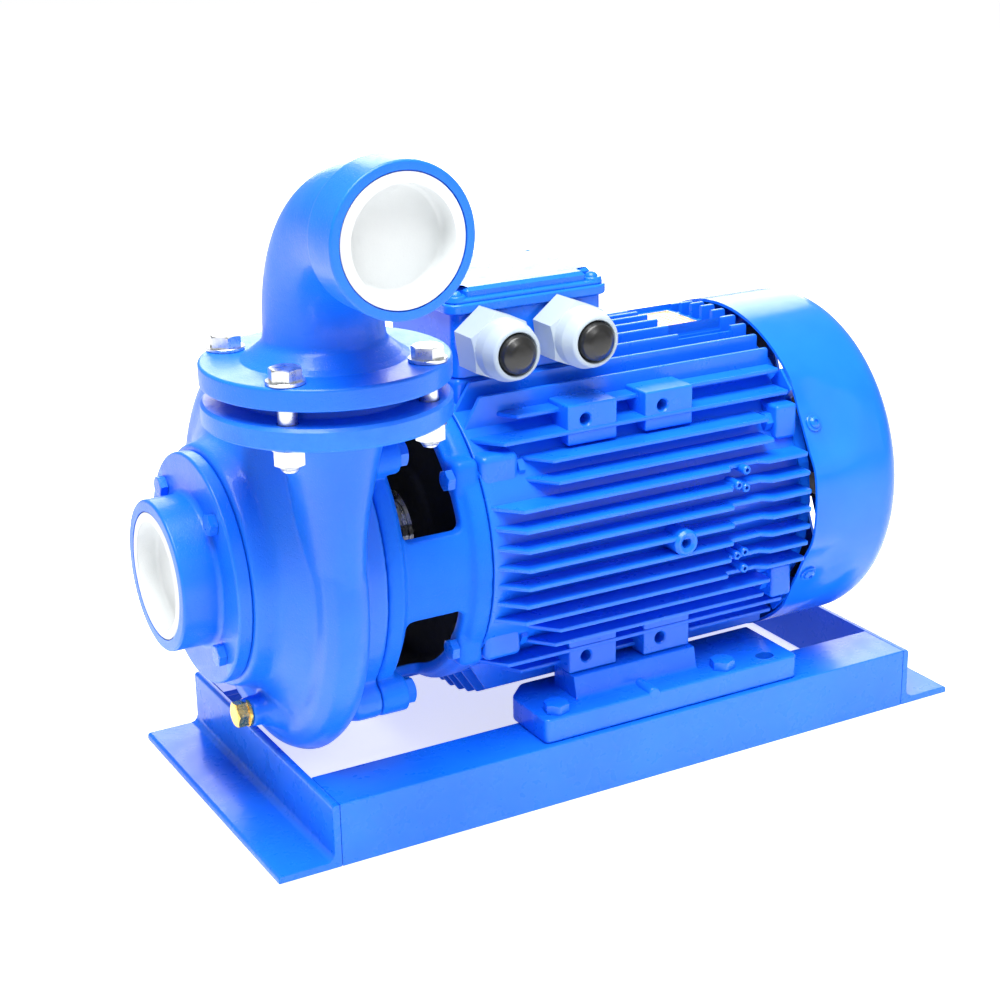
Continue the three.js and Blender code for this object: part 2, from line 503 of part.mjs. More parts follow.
// ---- Bracket between casing and motor, with its screws ---------------------------------------
const sideSpots = QUADRANTS.map(([u, v]) => [
  (u * (SIDE_LUG.outer + SIDE_LUG.inner + 2)) / 2,
  (v * (SIDE_LUG.low + SIDE_LUG.high)) / 2,
]);
const sideLug = (from, to, [y, z]) => box(
  from, to, Math.sign(y) * SIDE_LUG.inner - (y < 0 ? SIDE_LUG.outer - SIDE_LUG.inner : 0),
  Math.sign(y) * SIDE_LUG.inner + (y > 0 ? SIDE_LUG.outer - SIDE_LUG.inner : 0),
  SHAFT_Z + z - (SIDE_LUG.high - SIDE_LUG.low) / 2, SHAFT_Z + z + (SIDE_LUG.high - SIDE_LUG.low) / 2);
const sideHole = ([y, z]) => place(
  rod("x", SIDE_LUG.start - 1, SIDE_LUG.end + SIDE_SCREW.tail + 1, SIDE_LUG.hole), 0, y, SHAFT_Z + z);
{
  const { end, rimWidth, barrel, bore, rearRadius, ribHalf, windowFrom, windowTo, wallBack } = BRACKET;
  const sealBore = SEAL.seatRadius + GAP;
  const bearingBore = clearing(BEARING.outer + GAP, FINE);
  const shell = onShaft(turned("x", [
    [JOINT.x, sealBore], [JOINT.x, JOINT.ringRadius], [JOINT.x + rimWidth, JOINT.ringRadius],
    [JOINT.x + rimWidth + 3, barrel], [end - rimWidth - 4, barrel], [end - rimWidth, rearRadius],
    [end, rearRadius], [end, bearingBore], [BEARING.front - GAP, bearingBore],
    [BEARING.front - GAP, BRACKET.lipRadius], [BEARING.front - GAP - BRACKET.lip, BRACKET.lipRadius],
    [BEARING.front - GAP - BRACKET.lip, BRACKET.hubRadius], [BRACKET.webFrom, BRACKET.hubRadius],
    [BRACKET.webFrom, bore], [wallBack, bore], [wallBack, sealBore + 8],
    [SEAL.seatBack + GAP + 4, sealBore], [SEAL.seatBack + GAP + 4, SHAFT.body + 3],
    [SEAL.seatBack + GAP, SHAFT.body + 3], [SEAL.seatBack + GAP, sealBore],
  ], FINE));
  const far = JOINT.ringRadius + LUG.radius;
  const windows = QUADRANTS.map(([u, v]) => box(windowFrom, windowTo,
    Math.min(u * ribHalf, u * far), Math.max(u * ribHalf, u * far),
    SHAFT_Z + Math.min(v * ribHalf, v * far), SHAFT_Z + Math.max(v * ribHalf, v * far)));
  const hollow = onShaft(rod("x", wallBack + 1, BRACKET.webFrom - 1, bore, FINE));
  const lugs = onCircle(LUG.circle).map(([y, z]) => place(
    rod("x", JOINT.x, LUG.bracketTo, LUG.radius, 12), 0, y, SHAFT_Z + z));
  const lugHoles = onCircle(LUG.circle).map(([y, z]) => place(
    rod("x", JOINT.x - 1, LUG.bracketTo + 1, LUG.hole), 0, y, SHAFT_Z + z));
  const motorLugs = sideSpots.map((spot) => sideLug(SIDE_LUG.start, end, spot));
  const bracket = cut(union(cut(shell, ...windows), ...motorLugs, ...lugs),
    hollow, ...lugHoles, ...sideSpots.map(sideHole));
  addPart("bracket", bracket, BLUE);
  const screw = union(
    hex("x", LUG.bracketTo + GAP, LUG.bracketTo + GAP + 6.4, 16),
    rod("x", LUG.casingFrom + 1, LUG.bracketTo + 1, 5),
  );
  onCircle(LUG.circle).forEach(([y, z], i) =>
    addPart(`casing_screw_${i + 1}`, place(screw, 0, y, SHAFT_Z + z), BLUE));
  const { radius, flats, headHeight, tail } = SIDE_SCREW;
  const sideScrew = union(
    hex("x", SIDE_LUG.start - GAP - headHeight, SIDE_LUG.start - GAP, flats),
    rod("x", SIDE_LUG.start - 1, SIDE_LUG.end + tail, radius),
  );
  sideSpots.forEach(([y, z], i) =>
    addPart(`bracket_screw_${i + 1}`, place(sideScrew, 0, y, SHAFT_Z + z), BLUE));
}

// ---- Impeller, nut and shaft seal ------------------------------------------------------------
{
  const { radius, back, backDisc, shroud, passage, eyeOuter, eyeInner, eyeFront, hub, blades } = IMPELLER;
  const front = back - backDisc - passage;
  const discs = onShaft(union(
    turned("x", [
      [back, SHAFT.impellerSeat + GAP], [back, radius], [back - backDisc, radius],
      [back - backDisc - 2, hub + 8], [IMPELLER_NUT.to + GAP, hub],
      [IMPELLER_NUT.to + GAP, SHAFT.impellerSeat + GAP],
    ], FINE),
    turned("x", [
      [front, radius], [front - shroud, radius], [front - shroud - 3, eyeOuter],
      [eyeFront, eyeOuter], [eyeFront, eyeInner], [front - 4, eyeInner],
    ], FINE),
  ));
  // One swept-back blade, as a band between two arcs.
  const outline = [];
  const steps = 7;
  for (const side of [-1, 1])
    for (let i = 0; i <= steps; i++) {
      const t = side < 0 ? i / steps : 1 - i / steps;
      const r = hub + 4 + (radius - 0.5 - hub - 4) * t;
      const angle = IMPELLER.sweep * t;
      const normal = angle + Math.PI / 2.6;
      outline.push([
        r * Math.cos(angle) + (side * IMPELLER.blade * Math.cos(normal)) / 2,
        r * Math.sin(angle) + (side * IMPELLER.blade * Math.sin(normal)) / 2,
      ]);
    }
  const blade = drawn("x", outline, front - 1, back - backDisc + 1);
  const bladeSet = Array.from({ length: blades }, (_, i) =>
    onShaft(blade.rotate([(360 / blades) * i, 0, 0])));
  addPart("impeller", union(discs, ...bladeSet), BRASS);
  addPart("impeller_nut", onShaft(cut(
    hex("x", IMPELLER_NUT.from, IMPELLER_NUT.to, IMPELLER_NUT.flats),
    rod("x", IMPELLER_NUT.from - 1, IMPELLER_NUT.to + 1, SHAFT.thread + GAP, ROUND))), STEEL);
  addPart("seal_head", onShaft(turned("x", [
    [SEAL.headFrom, SHAFT.sealSeat + GAP], [SEAL.headFrom, SEAL.headRadius - 4],
    [SEAL.face - 8, SEAL.headRadius - 4], [SEAL.face - 8, SEAL.headRadius],
    [SEAL.face - 3, SEAL.headRadius], [SEAL.face - 3, SEAL.headRadius - 3],
    [SEAL.face, SEAL.headRadius - 3], [SEAL.face, SHAFT.sealSeat + GAP],
  ])), STEEL);
  addPart("seal_seat",
    onShaft(ring("x", SEAL.face + GAP, SEAL.seatBack, SEAL.seatRadius, SHAFT.body + 2)), BLACK);
}

// ---- Shaft, rotor and bearings ---------------------------------------------------------------
{
  const s = SHAFT;
  const coreFrom = CORE.from - ROTOR.ring;
  const coreTo = CORE.to + ROTOR.ring;
  addPart("shaft", onShaft(turned("x", [
    [s.tip, 0], [s.tip, s.thread - 1], [s.tip + 1, s.thread], [IMPELLER_NUT.to, s.thread],
    [IMPELLER_NUT.to, s.impellerSeat], [IMPELLER.back + GAP, s.impellerSeat],
    [IMPELLER.back + GAP, s.sealSeat], [SEAL.face + GAP, s.sealSeat], [SEAL.face + GAP, s.body],
    [BEARING.front - 1, s.body], [BEARING.front - 1, BEARING.bore],
    [BEARING.front + BEARING.width + GAP, BEARING.bore], [BEARING.front + BEARING.width + GAP, s.rotorSeat],
    [BEARING.rear - GAP, s.rotorSeat], [BEARING.rear - GAP, BEARING.bore],
    [BEARING.rear + BEARING.width, BEARING.bore], [BEARING.rear + BEARING.width, s.fanSeat],
    [s.end - 1.5, s.fanSeat], [s.end, s.fanSeat - 1.5], [s.end, 0],
  ])), STEEL);
  const rotorRadius = CORE.bore - ROTOR.airGap;
  addPart("rotor_core", onShaft(turned("x", [
    [CORE.from, s.rotorSeat + GAP], [CORE.from, ROTOR.ringInner], [coreFrom, ROTOR.ringInner],
    [coreFrom, rotorRadius - 2], [CORE.from, rotorRadius], [CORE.to, rotorRadius],
    [coreTo, rotorRadius - 2], [coreTo, ROTOR.ringInner], [CORE.to, ROTOR.ringInner],
    [CORE.to, s.rotorSeat + GAP],
  ])), IRON);
  const bearing = (from) =>
    onShaft(ring("x", from, from + BEARING.width, BEARING.outer, clearing(BEARING.bore + GAP)));
  addPart("front_bearing", bearing(BEARING.front), STEEL);
  addPart("rear_bearing", bearing(BEARING.rear), STEEL);
}

// ---- Stator: finned housing, core and winding ------------------------------------------------
{
  const { from, to, radius, bore } = HOUSING;
  const { pitch, tip, thickness, bevel, count, lugClear } = FIN;
  const root = (offset) => Math.sqrt(bore ** 2 - offset ** 2) + 3;
  const crest = (offset) => Math.sqrt(tip ** 2 - offset ** 2);
  // A fin's outline along the shaft: it starts at the barrel and rises to full height.
  const outline = (offset, start) => [
    [start, root(offset)], [start, Math.sqrt(radius ** 2 - offset ** 2)],
    [start + bevel, crest(offset)], [to, crest(offset)], [to, root(offset)],
  ];
  const fins = [];
  for (let k = -count; k <= count; k++) {
    const offset = k * pitch;
    const start = Math.abs(k) > 3 ? lugClear : from;
    const flat = [offset - thickness / 2, offset + thickness / 2];
    const side = onShaft(drawn("z", outline(offset, start), ...flat));
    fins.push(side, mirrorY(side));
    const underBox = Math.abs(offset) < PEDESTAL.half + 2;
    const upright = (begin) => drawn("y", outline(offset, begin), ...flat);
    fins.push(onShaft(upright(underBox ? PEDESTAL.to : from)));
    fins.push(onShaft(upright(from).mirror([0, 0, 1])));
  }
  const pads = [];
  const padHoles = [];
  for (const start of PAD.starts)
    for (const [u, v] of QUADRANTS) {
      const span = [u * PAD.inner, u * PAD.outer].sort((a, b) => a - b);
      const rise = [v * PAD.low, v * PAD.high].sort((a, b) => a - b);
      pads.push(box(start, start + PAD.width, ...span, SHAFT_Z + rise[0], SHAFT_Z + rise[1]));
      const x = start + PAD.holeFrom;
      const depth = [u * (PAD.outer - PAD.holeDepth), u * (PAD.outer + 1)].sort((a, b) => a - b);
      padHoles.push(place(rod("y", ...depth, PAD.holeRadius), x, 0, SHAFT_Z + v * PAD.holeHeight));
    }
  const barrel = onShaft(ring("x", from, to, radius, bore, FINE));
  const pedestal = box(
    PEDESTAL.from, PEDESTAL.to, -PEDESTAL.half, PEDESTAL.half, SHAFT_Z + 70, PEDESTAL.top);
  const lugs = sideSpots.map((spot) => sideLug(from, SIDE_LUG.end, spot));
  const eye = place(rod("y", -EYE.end, -radius + 4, EYE.radius, 12), EYE.x, 0, SHAFT_Z - EYE.drop);
  const eyeHole = place(rod("y", -EYE.end - 1, -EYE.end + 10, EYE.hole), EYE.x, 0, SHAFT_Z - EYE.drop);
  const platePocket = box(NAMEPLATE.from - NAMEPLATE.margin, NAMEPLATE.to + NAMEPLATE.margin,
    NAMEPLATE.low - NAMEPLATE.margin, NAMEPLATE.high + NAMEPLATE.margin,
    NAMEPLATE.z - GAP, SHAFT_Z + tip + 1);
  const inside = onShaft(rod("x", from - 1, to + 1, bore, FINE));
  const cable = place(
    rod("z", SHAFT_Z + 60, PEDESTAL.top + 1, 14), (PEDESTAL.from + PEDESTAL.to) / 2, 0, 0);
  const housing = cut(union(barrel, ...fins, ...pads, pedestal, ...lugs, eye),
    inside, eyeHole, platePocket, cable, ...padHoles, ...sideSpots.map(sideHole));
  addPart("stator_housing", housing, BLUE);

  const spots = Array.from({ length: CORE.slots }, (_, i) => {
    const angle = ((i + 0.5) / CORE.slots) * 2 * Math.PI;
    return [CORE.slotCircle * Math.cos(angle), CORE.slotCircle * Math.sin(angle)];
  });
  const bars = (from_, to_, r) => spots.map(([y, z]) => place(rod("x", from_, to_, r), 0, y, z));
  const core = cut(ring("x", CORE.from, CORE.to, bore - GAP, clearing(CORE.bore, FINE), FINE),
    ...bars(CORE.from - 1, CORE.to + 1, CORE.slotRadius));
  addPart("stator_core", onShaft(core), IRON);
  const { overhang, inner, outer } = WINDING;
  const coil = (start, away) => turned("x", [
    [start, inner + 3], [start, outer - 3], [start + away * 4, outer],
    [start + away * (overhang - 5), outer],
    [start + away * overhang, outer - 6], [start + away * overhang, inner + 6],
    [start + away * (overhang - 5), inner], [start + away * 4, inner],
  ]);
  const winding = union(coil(CORE.from - GAP, -1), coil(CORE.to + GAP, 1),
    ...bars(CORE.from - 3, CORE.to + 3, CORE.slotRadius - GAP));
  addPart("stator_winding", onShaft(winding), COPPER);
}

// ---- Fan end: shield, fan and cowl -----------------------------------------------------------
{
  const { from, thickness, radius, hubRadius, lug, lugHalf } = SHIELD;
  const bearingBack = BEARING.rear + BEARING.width + GAP;
  const bearingBore = clearing(BEARING.outer + GAP, FINE);
  const plate = turned("x", [
    [from, HOUSING.bore - GAP], [from, radius], [from + thickness, radius],
    [from + thickness, SHAFT.fanSeat + 3], [bearingBack, SHAFT.fanSeat + 3],
    [bearingBack, bearingBore], [BEARING.rear, bearingBore],
    [BEARING.rear, hubRadius], [from - 6, hubRadius + 3], [from - 6, HOUSING.bore - GAP],
  ], FINE);
  const arms = QUADRANTS.map((_, i) =>
    box(from, from + thickness, radius - 5, lug, -lugHalf, lugHalf).rotate([45 + 90 * i, 0, 0]));
  addPart("fan_end_shield", onShaft(union(plate, ...arms)), BLUE);

  const blade = box(FAN.from, FAN.to, FAN.hub - 4, FAN.tip, -FAN.blade / 2, FAN.blade / 2);
  const blades = Array.from({ length: FAN.blades }, (_, i) =>
    blade.rotate([(360 / FAN.blades) * i, 0, 0]));
  const fan = cut(union(
    rod("x", FAN.from, FAN.to, FAN.hub, 16),
    rod("x", FAN.from, FAN.from + FAN.discThickness, FAN.disc, ROUND), ...blades,
  ), rod("x", FAN.from - 1, FAN.to + 1, SHAFT.fanSeat + GAP, ROUND));
  addPart("cooling_fan", onShaft(fan), BLACK);

  const edge = (r, back, round) => [0, 1, 2, 3].map((i) => {
    const angle = (i / 3) * (Math.PI / 2);
    return [back - round + round * Math.sin(angle), r - round + round * Math.cos(angle)];
  });
  const shell = turned("x", [
    [COWL.from, COWL.radius], ...edge(COWL.radius, COWL.to, COWL.round), [COWL.to, 0],
    [COWL.to - COWL.wall, 0],
    ...edge(COWL.radius - COWL.wall, COWL.to - COWL.wall, COWL.round - COWL.wall).reverse(),
    [COWL.from, COWL.radius - COWL.wall],
  ], FINE);
  const slots = Array.from({ length: COWL.slots }, (_, i) =>
    box(COWL.to - 2 * COWL.wall, COWL.to + 1, GRILLE.inner + (i % 2) * 14, GRILLE.outer,
      -COWL.slotWidth / 2, COWL.slotWidth / 2).rotate([(360 / COWL.slots) * i, 0, 0]));
  addPart("fan_cowl", onShaft(cut(shell, ...slots)), BLUE);
}

// ---- Terminal box, glands and nameplate ------------------------------------------------------
{
  const bottom = PEDESTAL.top + GAP;
  const { from, to, half, top, wall, corner } = BOX;
  const outer = drawn("z", roundedRectangle(from, to, -half, half, corner), bottom, top);
  const hollow = roundedRectangle(from + wall, to - wall, -half + wall, half - wall, corner - wall);
  const inner = drawn("z", hollow, bottom + wall, top + 1);
  const middle = (from + to) / 2;
  const entry = rod("y", -half - 1, -half + wall + 1, GLAND.thread + GAP, 16);
  const entries = GLAND.xs.map((x) => place(entry, x, 0, GLAND.z));
  const leads = place(rod("z", bottom - 1, bottom + wall + 1, 14), middle, 0, 0);
  addPart("terminal_box", cut(outer, inner, leads, ...entries), BLUE);
  const lidBottom = top + GAP;
  const lidTop = lidBottom + LID.thickness;
  const lid = union(
    drawn("z", roundedRectangle(LID.from, LID.to, -LID.half, LID.half, LID.corner), lidBottom, lidTop),
    drawn("z", roundedRectangle(LID.from + LID.inset, LID.to - LID.inset,
      -LID.half + LID.inset, LID.half - LID.inset, LID.corner / 2), lidTop - 1, lidTop + LID.panel),
  );
  addPart("terminal_lid", lid, BLUE);
  const floor = bottom + wall + GAP;
  const posts = [-1, 0, 1].flatMap((i) => [-1, 1].map((j) => place(
    rod("z", floor + BOARD.height - 1, floor + BOARD.height + BOARD.postHeight, BOARD.post, 10),
    middle + i * BOARD.pitch, 26 + (j * BOARD.pitch) / 2, 0)));
  addPart("terminal_board", union(box(middle - BOARD.half - 4, middle + BOARD.half + 4,
    15.5, 15.5 + BOARD.depth, floor, floor + BOARD.height), ...posts), BLACK);

  const { thread, flats, hexTo, nutRadius, end, mouth, bore, boreDepth } = GLAND;
  const face = -LID.half - 1;
  const gland = cut(union(
    rod("y", face - 1, -half + wall + 0.5, thread, 16),
    hex("y", hexTo, face, flats),
    turned("y", [
      [hexTo + 0.5, 0], [hexTo + 0.5, nutRadius], [end + 12, nutRadius], [end + 5, nutRadius - 2],
      [end + 1, mouth + 2], [end, mouth], [end, 0],
    ]),
  ), rod("y", end - 1, end + boreDepth, bore, 16));
  const dome = turned("y", [
    [end + DOME.length, 0], [end + DOME.length, DOME.radius], [end - 0.4, DOME.radius],
    [end - DOME.bulge * 0.5, DOME.radius * 0.87], [end - DOME.bulge * 0.85, DOME.radius * 0.55],
    [end - DOME.bulge, 0],
  ], 16);
  GLAND.xs.forEach((x, i) => {
    addPart(`cable_gland_${i + 1}`, place(gland, x, 0, GLAND.z), GREY);
    addPart(`gland_plug_${i + 1}`, place(dome, x, 0, GLAND.z), BLACK);
  });
  addPart("nameplate", box(NAMEPLATE.from, NAMEPLATE.to, NAMEPLATE.low, NAMEPLATE.high,
    NAMEPLATE.z, NAMEPLATE.z + NAMEPLATE.thickness), BRASS);
}

export default group;
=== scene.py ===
"""Looks of a close-coupled water pump on its angle base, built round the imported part.

Sizes are millimetres on the pump's drawing: x runs along the shaft, y is measured across from the
shaft line and z up from the ground. `at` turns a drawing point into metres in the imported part's frame.
"""
from math import cos, pi, radians, sin, sqrt, tan

import bpy
from mathutils import Matrix, Vector
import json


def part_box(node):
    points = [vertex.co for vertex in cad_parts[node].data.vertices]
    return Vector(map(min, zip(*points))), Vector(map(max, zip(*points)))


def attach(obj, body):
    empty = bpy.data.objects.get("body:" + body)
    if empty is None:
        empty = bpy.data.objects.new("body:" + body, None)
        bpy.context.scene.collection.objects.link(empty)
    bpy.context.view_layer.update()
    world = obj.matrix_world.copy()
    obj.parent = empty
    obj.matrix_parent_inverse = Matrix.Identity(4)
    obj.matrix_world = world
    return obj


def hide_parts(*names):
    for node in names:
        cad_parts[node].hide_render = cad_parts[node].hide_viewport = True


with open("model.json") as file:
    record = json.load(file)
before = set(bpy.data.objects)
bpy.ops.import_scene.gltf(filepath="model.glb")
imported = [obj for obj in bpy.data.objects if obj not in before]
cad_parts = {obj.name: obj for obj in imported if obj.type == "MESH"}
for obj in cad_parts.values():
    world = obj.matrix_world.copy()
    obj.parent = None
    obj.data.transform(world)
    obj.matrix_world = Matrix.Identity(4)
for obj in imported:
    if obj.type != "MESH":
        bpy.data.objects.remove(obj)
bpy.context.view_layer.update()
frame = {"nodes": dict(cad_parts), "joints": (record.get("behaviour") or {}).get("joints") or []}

MM = 0.001
SHAFT = 177.0
QUADRANTS = [(-1, -1), (-1, 1), (1, 1), (1, -1)]
spin_joint = [joint for joint in frame["joints"] if joint["name"] == "shaft_spin"][0]
DATUM = Vector((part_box("bracket")[0].x + 12 * MM, spin_joint["pos_m"][1], 0))


def at(x, y, z):
    return DATUM + Vector((x, y, z)) * MM


def on_circle(radius):
    return [(a * radius / sqrt(2), b * radius / sqrt(2)) for a, b in QUADRANTS]


# ---- Bench work: small jobs that every piece needs ---------------
def select_none():
    bpy.ops.object.select_all(action="DESELECT")


def select_all():
    bpy.ops.mesh.select_all(action="SELECT")


def only(piece):
    select_none()
    piece.select_set(True)
    bpy.context.view_layer.objects.active = piece


def edit(kind="VERT"):
    bpy.ops.object.mode_set(mode="EDIT")
    bpy.ops.mesh.select_mode(type=kind)


def leave():
    bpy.ops.object.mode_set(mode="OBJECT")


def named(name):
    piece = bpy.context.object
    piece.name = name
    bpy.ops.object.transform_apply(location=True, rotation=True, scale=True)
    return piece


def pick_faces(piece, test):
    only(piece)
    edit("FACE")
    bpy.ops.mesh.select_all(action="DESELECT")
    leave()
    for face in piece.data.polygons:
        face.select = test(face.center, face.normal)
    bpy.ops.object.mode_set(mode="EDIT")


def pick_edges(piece, test):
    only(piece)
    edit("EDGE")
    bpy.ops.mesh.select_all(action="DESELECT")
    leave()
    points = piece.data.vertices
    for edge in piece.data.edges:
        edge.select = test(points[edge.vertices[0]].co, points[edge.vertices[1]].co)
    bpy.ops.object.mode_set(mode="EDIT")


def eased(corners, steps=4):
    """The line through the corners, with an arc at each corner that has a third number, its radius."""
    line = []
    for place, corner in enumerate(corners):
        point = Vector(corner[:2])
        if len(corner) == 2:
            line.append(point)
            continue
        before = (Vector(corners[place - 1][:2]) - point).normalized()
        after = (Vector(corners[(place + 1) % len(corners)][:2]) - point).normalized()
        half = before.angle(after) / 2
        middle = point + (before + after).normalized() * corner[2] / sin(half)
        reach = corner[2] / tan(half)
        first = point + before * reach - middle
        last = point + after * reach - middle
        turn = first.angle(last)
        for step in range(steps + 1):
            share = step / steps
            arc = first * sin((1 - share) * turn) + last * sin(share * turn)
            line.append(middle + arc / sin(turn))
    return line


def traced(name, points):
    """A chain of edges through the points, left in edit mode with all of it selected."""
    select_none()
    bpy.ops.mesh.primitive_plane_add(size=MM, location=points[0])
    piece = named(name)
    edit()
    select_all()
    bpy.ops.mesh.merge(type="CENTER")
    for start, end in zip(points, points[1:]):
        bpy.ops.mesh.extrude_region_move(TRANSFORM_OT_translate={"value": end - start})
    select_all()
    return piece


def sealed():
    select_all()
    bpy.ops.mesh.remove_doubles(threshold=0.01 * MM)
    bpy.ops.mesh.normals_make_consistent(inside=False)
    leave()


def hub_line(axis, centre):
    """The centre with its place along the axis taken out, so a profile can say it."""
    return [0 if letter == axis else value for letter, value in zip("XYZ", centre)]


def turned(name, profile, centre=(0, 0, SHAFT), axis="X", steps=96):
    """Lathe work. Profile points are (place along the axis, radius)."""
    along = {"X": Vector((1, 0, 0)), "Y": Vector((0, 1, 0)), "Z": Vector((0, 0, 1))}[axis]
    out = Vector((1, 0, 0)) if axis == "Z" else Vector((0, 0, 1))
    middle = at(*centre)
    piece = traced(name, [middle + (along * p[0] + out * p[1]) * MM for p in profile])
    bpy.ops.mesh.spin(steps=steps, angle=2 * pi, center=middle, axis=along)
    sealed()
    return piece


def ring(name, profile, **how):
    return turned(name, list(profile) + [profile[0]], **how)


def slab(name, outline, plane, start, end):
    """A flat outline in the named plane, filled and pulled from start to end across the plane."""
    def place(u, v, w):
        return {"YZ": at(w, u, v), "XZ": at(u, w, v), "XY": at(u, v, w)}[plane]

    corners = [place(u, v, start) for u, v in outline]
    piece = traced(name, corners + [corners[0]])
    bpy.ops.mesh.remove_doubles(threshold=0.01 * MM)
    bpy.ops.mesh.edge_face_add()
    pull = place(0, 0, end) - place(0, 0, start)
    bpy.ops.mesh.extrude_region_move(TRANSFORM_OT_translate={"value": pull})
    sealed()
    return piece


def block(name, low, high):
    low, high = at(*low), at(*high)
    select_none()
    bpy.ops.mesh.primitive_cube_add(size=1, location=(low + high) / 2, scale=high - low)
    return named(name)


def rod(name, axis, start, end, centre, radius, sides=48):
    """A round bar from start to end along the axis, through the centre point."""
    number = "XYZ".index(axis)
    middle = list(centre)
    middle[number] = (start + end) / 2
    tilt = {"X": (0, pi / 2, 0), "Y": (pi / 2, 0, 0), "Z": (0, 0, 0)}[axis]
    select_none()
    bpy.ops.mesh.primitive_cylinder_add(
        vertices=sides, radius=radius * MM, depth=abs(end - start) * MM,
        location=at(*middle), rotation=tilt)
    return named(name)


def applied(piece, kind, **settings):
    only(piece)
    bpy.ops.object.modifier_add(type=kind)
    change = piece.modifiers[-1]
    for key, value in settings.items():
        setattr(change, key, value)
    bpy.ops.object.modifier_apply(modifier=change.name)
    return piece


def joined(piece, *others):
    only(piece)
    for other in others:
        other.select_set(True)
    bpy.ops.object.join()
    return piece


def carved(piece, *tools, operation="DIFFERENCE"):
    """Each tool is a closed shape of its own, used up by the cut."""
    for tool in tools:
        applied(piece, "BOOLEAN", operation=operation, solver="EXACT", object=tool)
        bpy.data.objects.remove(tool)
    return piece


def softened(piece, width, segments=2, angle=32):
    applied(piece, "BEVEL", width=width * MM, segments=segments, limit_method="ANGLE",
            angle_limit=radians(angle), harden_normals=False, miter_outer="MITER_ARC")
    return piece


def smoothed(piece, angle=38):
    only(piece)
    bpy.ops.object.shade_smooth_by_angle(angle=radians(angle))
    applied(piece, "WEIGHTED_NORMAL", keep_sharp=True, weight=60)
    return piece


def copied(piece, name, step=(0, 0, 0)):
    """A copy with its own mesh, moved by step."""
    only(piece)
    bpy.ops.object.duplicate()
    bpy.ops.transform.translate(value=Vector(step) * MM)
    return named(name)


def mirrored(piece, name):
    """The piece's twin on the other side of the shaft line."""
    twin = copied(piece, name)
    edit()
    select_all()
    bpy.ops.transform.mirror(
        constraint_axis=(False, True, False), orient_type="GLOBAL", center_override=at(0, 0, 0))
    sealed()
    return twin


def cast(piece, voxel=1.8, passes=8):
    """Turns joined shapes into one casting with soft roots, as a sand mould leaves them."""
    applied(piece, "REMESH", mode="VOXEL", voxel_size=voxel * MM)
    applied(piece, "SMOOTH", factor=0.5, iterations=passes)
    only(piece)
    bpy.ops.object.shade_smooth()
    return piece


def fitted(piece, finish, slot, *nodes, body="pump"):
    """The finished piece rides on its body, stands for its nodes and takes its finish."""
    piece.data.materials.clear()
    piece.data.materials.append(finish)
    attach(piece, body)
    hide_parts(*nodes)
    return piece


def spread_out(master, name, node, spots, finish=None, slot="blue_paint"):
    """Copies of a finished piece for node_1, node_2 and so on. The piece stands at the first spot."""
    for number, spot in enumerate(spots, 1):
        step = [here - first for here, first in zip(spot, spots[0])]
        fitted(copied(master, f"{name}_{number}", step), finish or smooth_blue, slot, f"{node}_{number}")
    bpy.data.objects.remove(master)


def quarter_block(name, side, level, x, y, z):
    """A block in one quarter round the shaft. y and z run outward from the shaft line."""
    y_low, y_high = sorted((side * y[0], side * y[1]))
    z_low, z_high = sorted((SHAFT + level * z[0], SHAFT + level * z[1]))
    return block(name, (x[0], y_low, z_low), (x[1], y_high, z_high))


# ---- Finishes ----------------------------------------------------
def effect(name, inputs, outputs):
    """An empty shared effect with its named sockets, and its first and last node."""
    made = bpy.data.node_groups.new(name, "ShaderNodeTree")
    for label, kind, value in inputs:
        socket = made.interface.new_socket(name=label, in_out="INPUT", socket_type=kind)
        socket.default_value = value
    for label, kind in outputs:
        made.interface.new_socket(name=label, in_out="OUTPUT", socket_type=kind)
    return made, made.nodes.new("NodeGroupInput"), made.nodes.new("NodeGroupOutput")


def noise(tree, scale, detail=3.0, roughness=0.5):
    node = tree.nodes.new("ShaderNodeTexNoise")
    node.inputs["Scale"].default_value = scale
    node.inputs["Detail"].default_value = detail
    node.inputs["Roughness"].default_value = roughness
    return node


def spread(tree, low, high, to_low=0.0, to_high=1.0):
    node = tree.nodes.new("ShaderNodeMapRange")
    for label, value in zip(("From Min", "From Max", "To Min", "To Max"), (low, high, to_low, to_high)):
        node.inputs[label].default_value = value
    return node


def maths(tree, operation, first=None, second=None):
    node = tree.nodes.new("ShaderNodeMath")
    node.operation = operation
    for socket, value in zip(node.inputs, (first, second)):
        if value is not None:
            socket.default_value = value
    return node


def vector_maths(tree, operation, second=None):
    node = tree.nodes.new("ShaderNodeVectorMath")
    node.operation = operation
    if second:
        node.inputs[1].default_value = second
    return node


def wire(tree, *runs):
    """Each run is a node, its output, the next node and its input."""
    for first, output, second, entry in runs:
        tree.links.new(first.outputs[output], second.inputs[entry])


def blend(tree, kind="MIX", share=0.5):
    node = tree.nodes.new("ShaderNodeMix")
    node.data_type = "RGBA"
    node.blend_type = kind
    node.inputs["Factor"].default_value = share
    return node


COLOUR = "NodeSocketColor"
FLOAT = "NodeSocketFloat"
VECTOR = "NodeSocketVector"


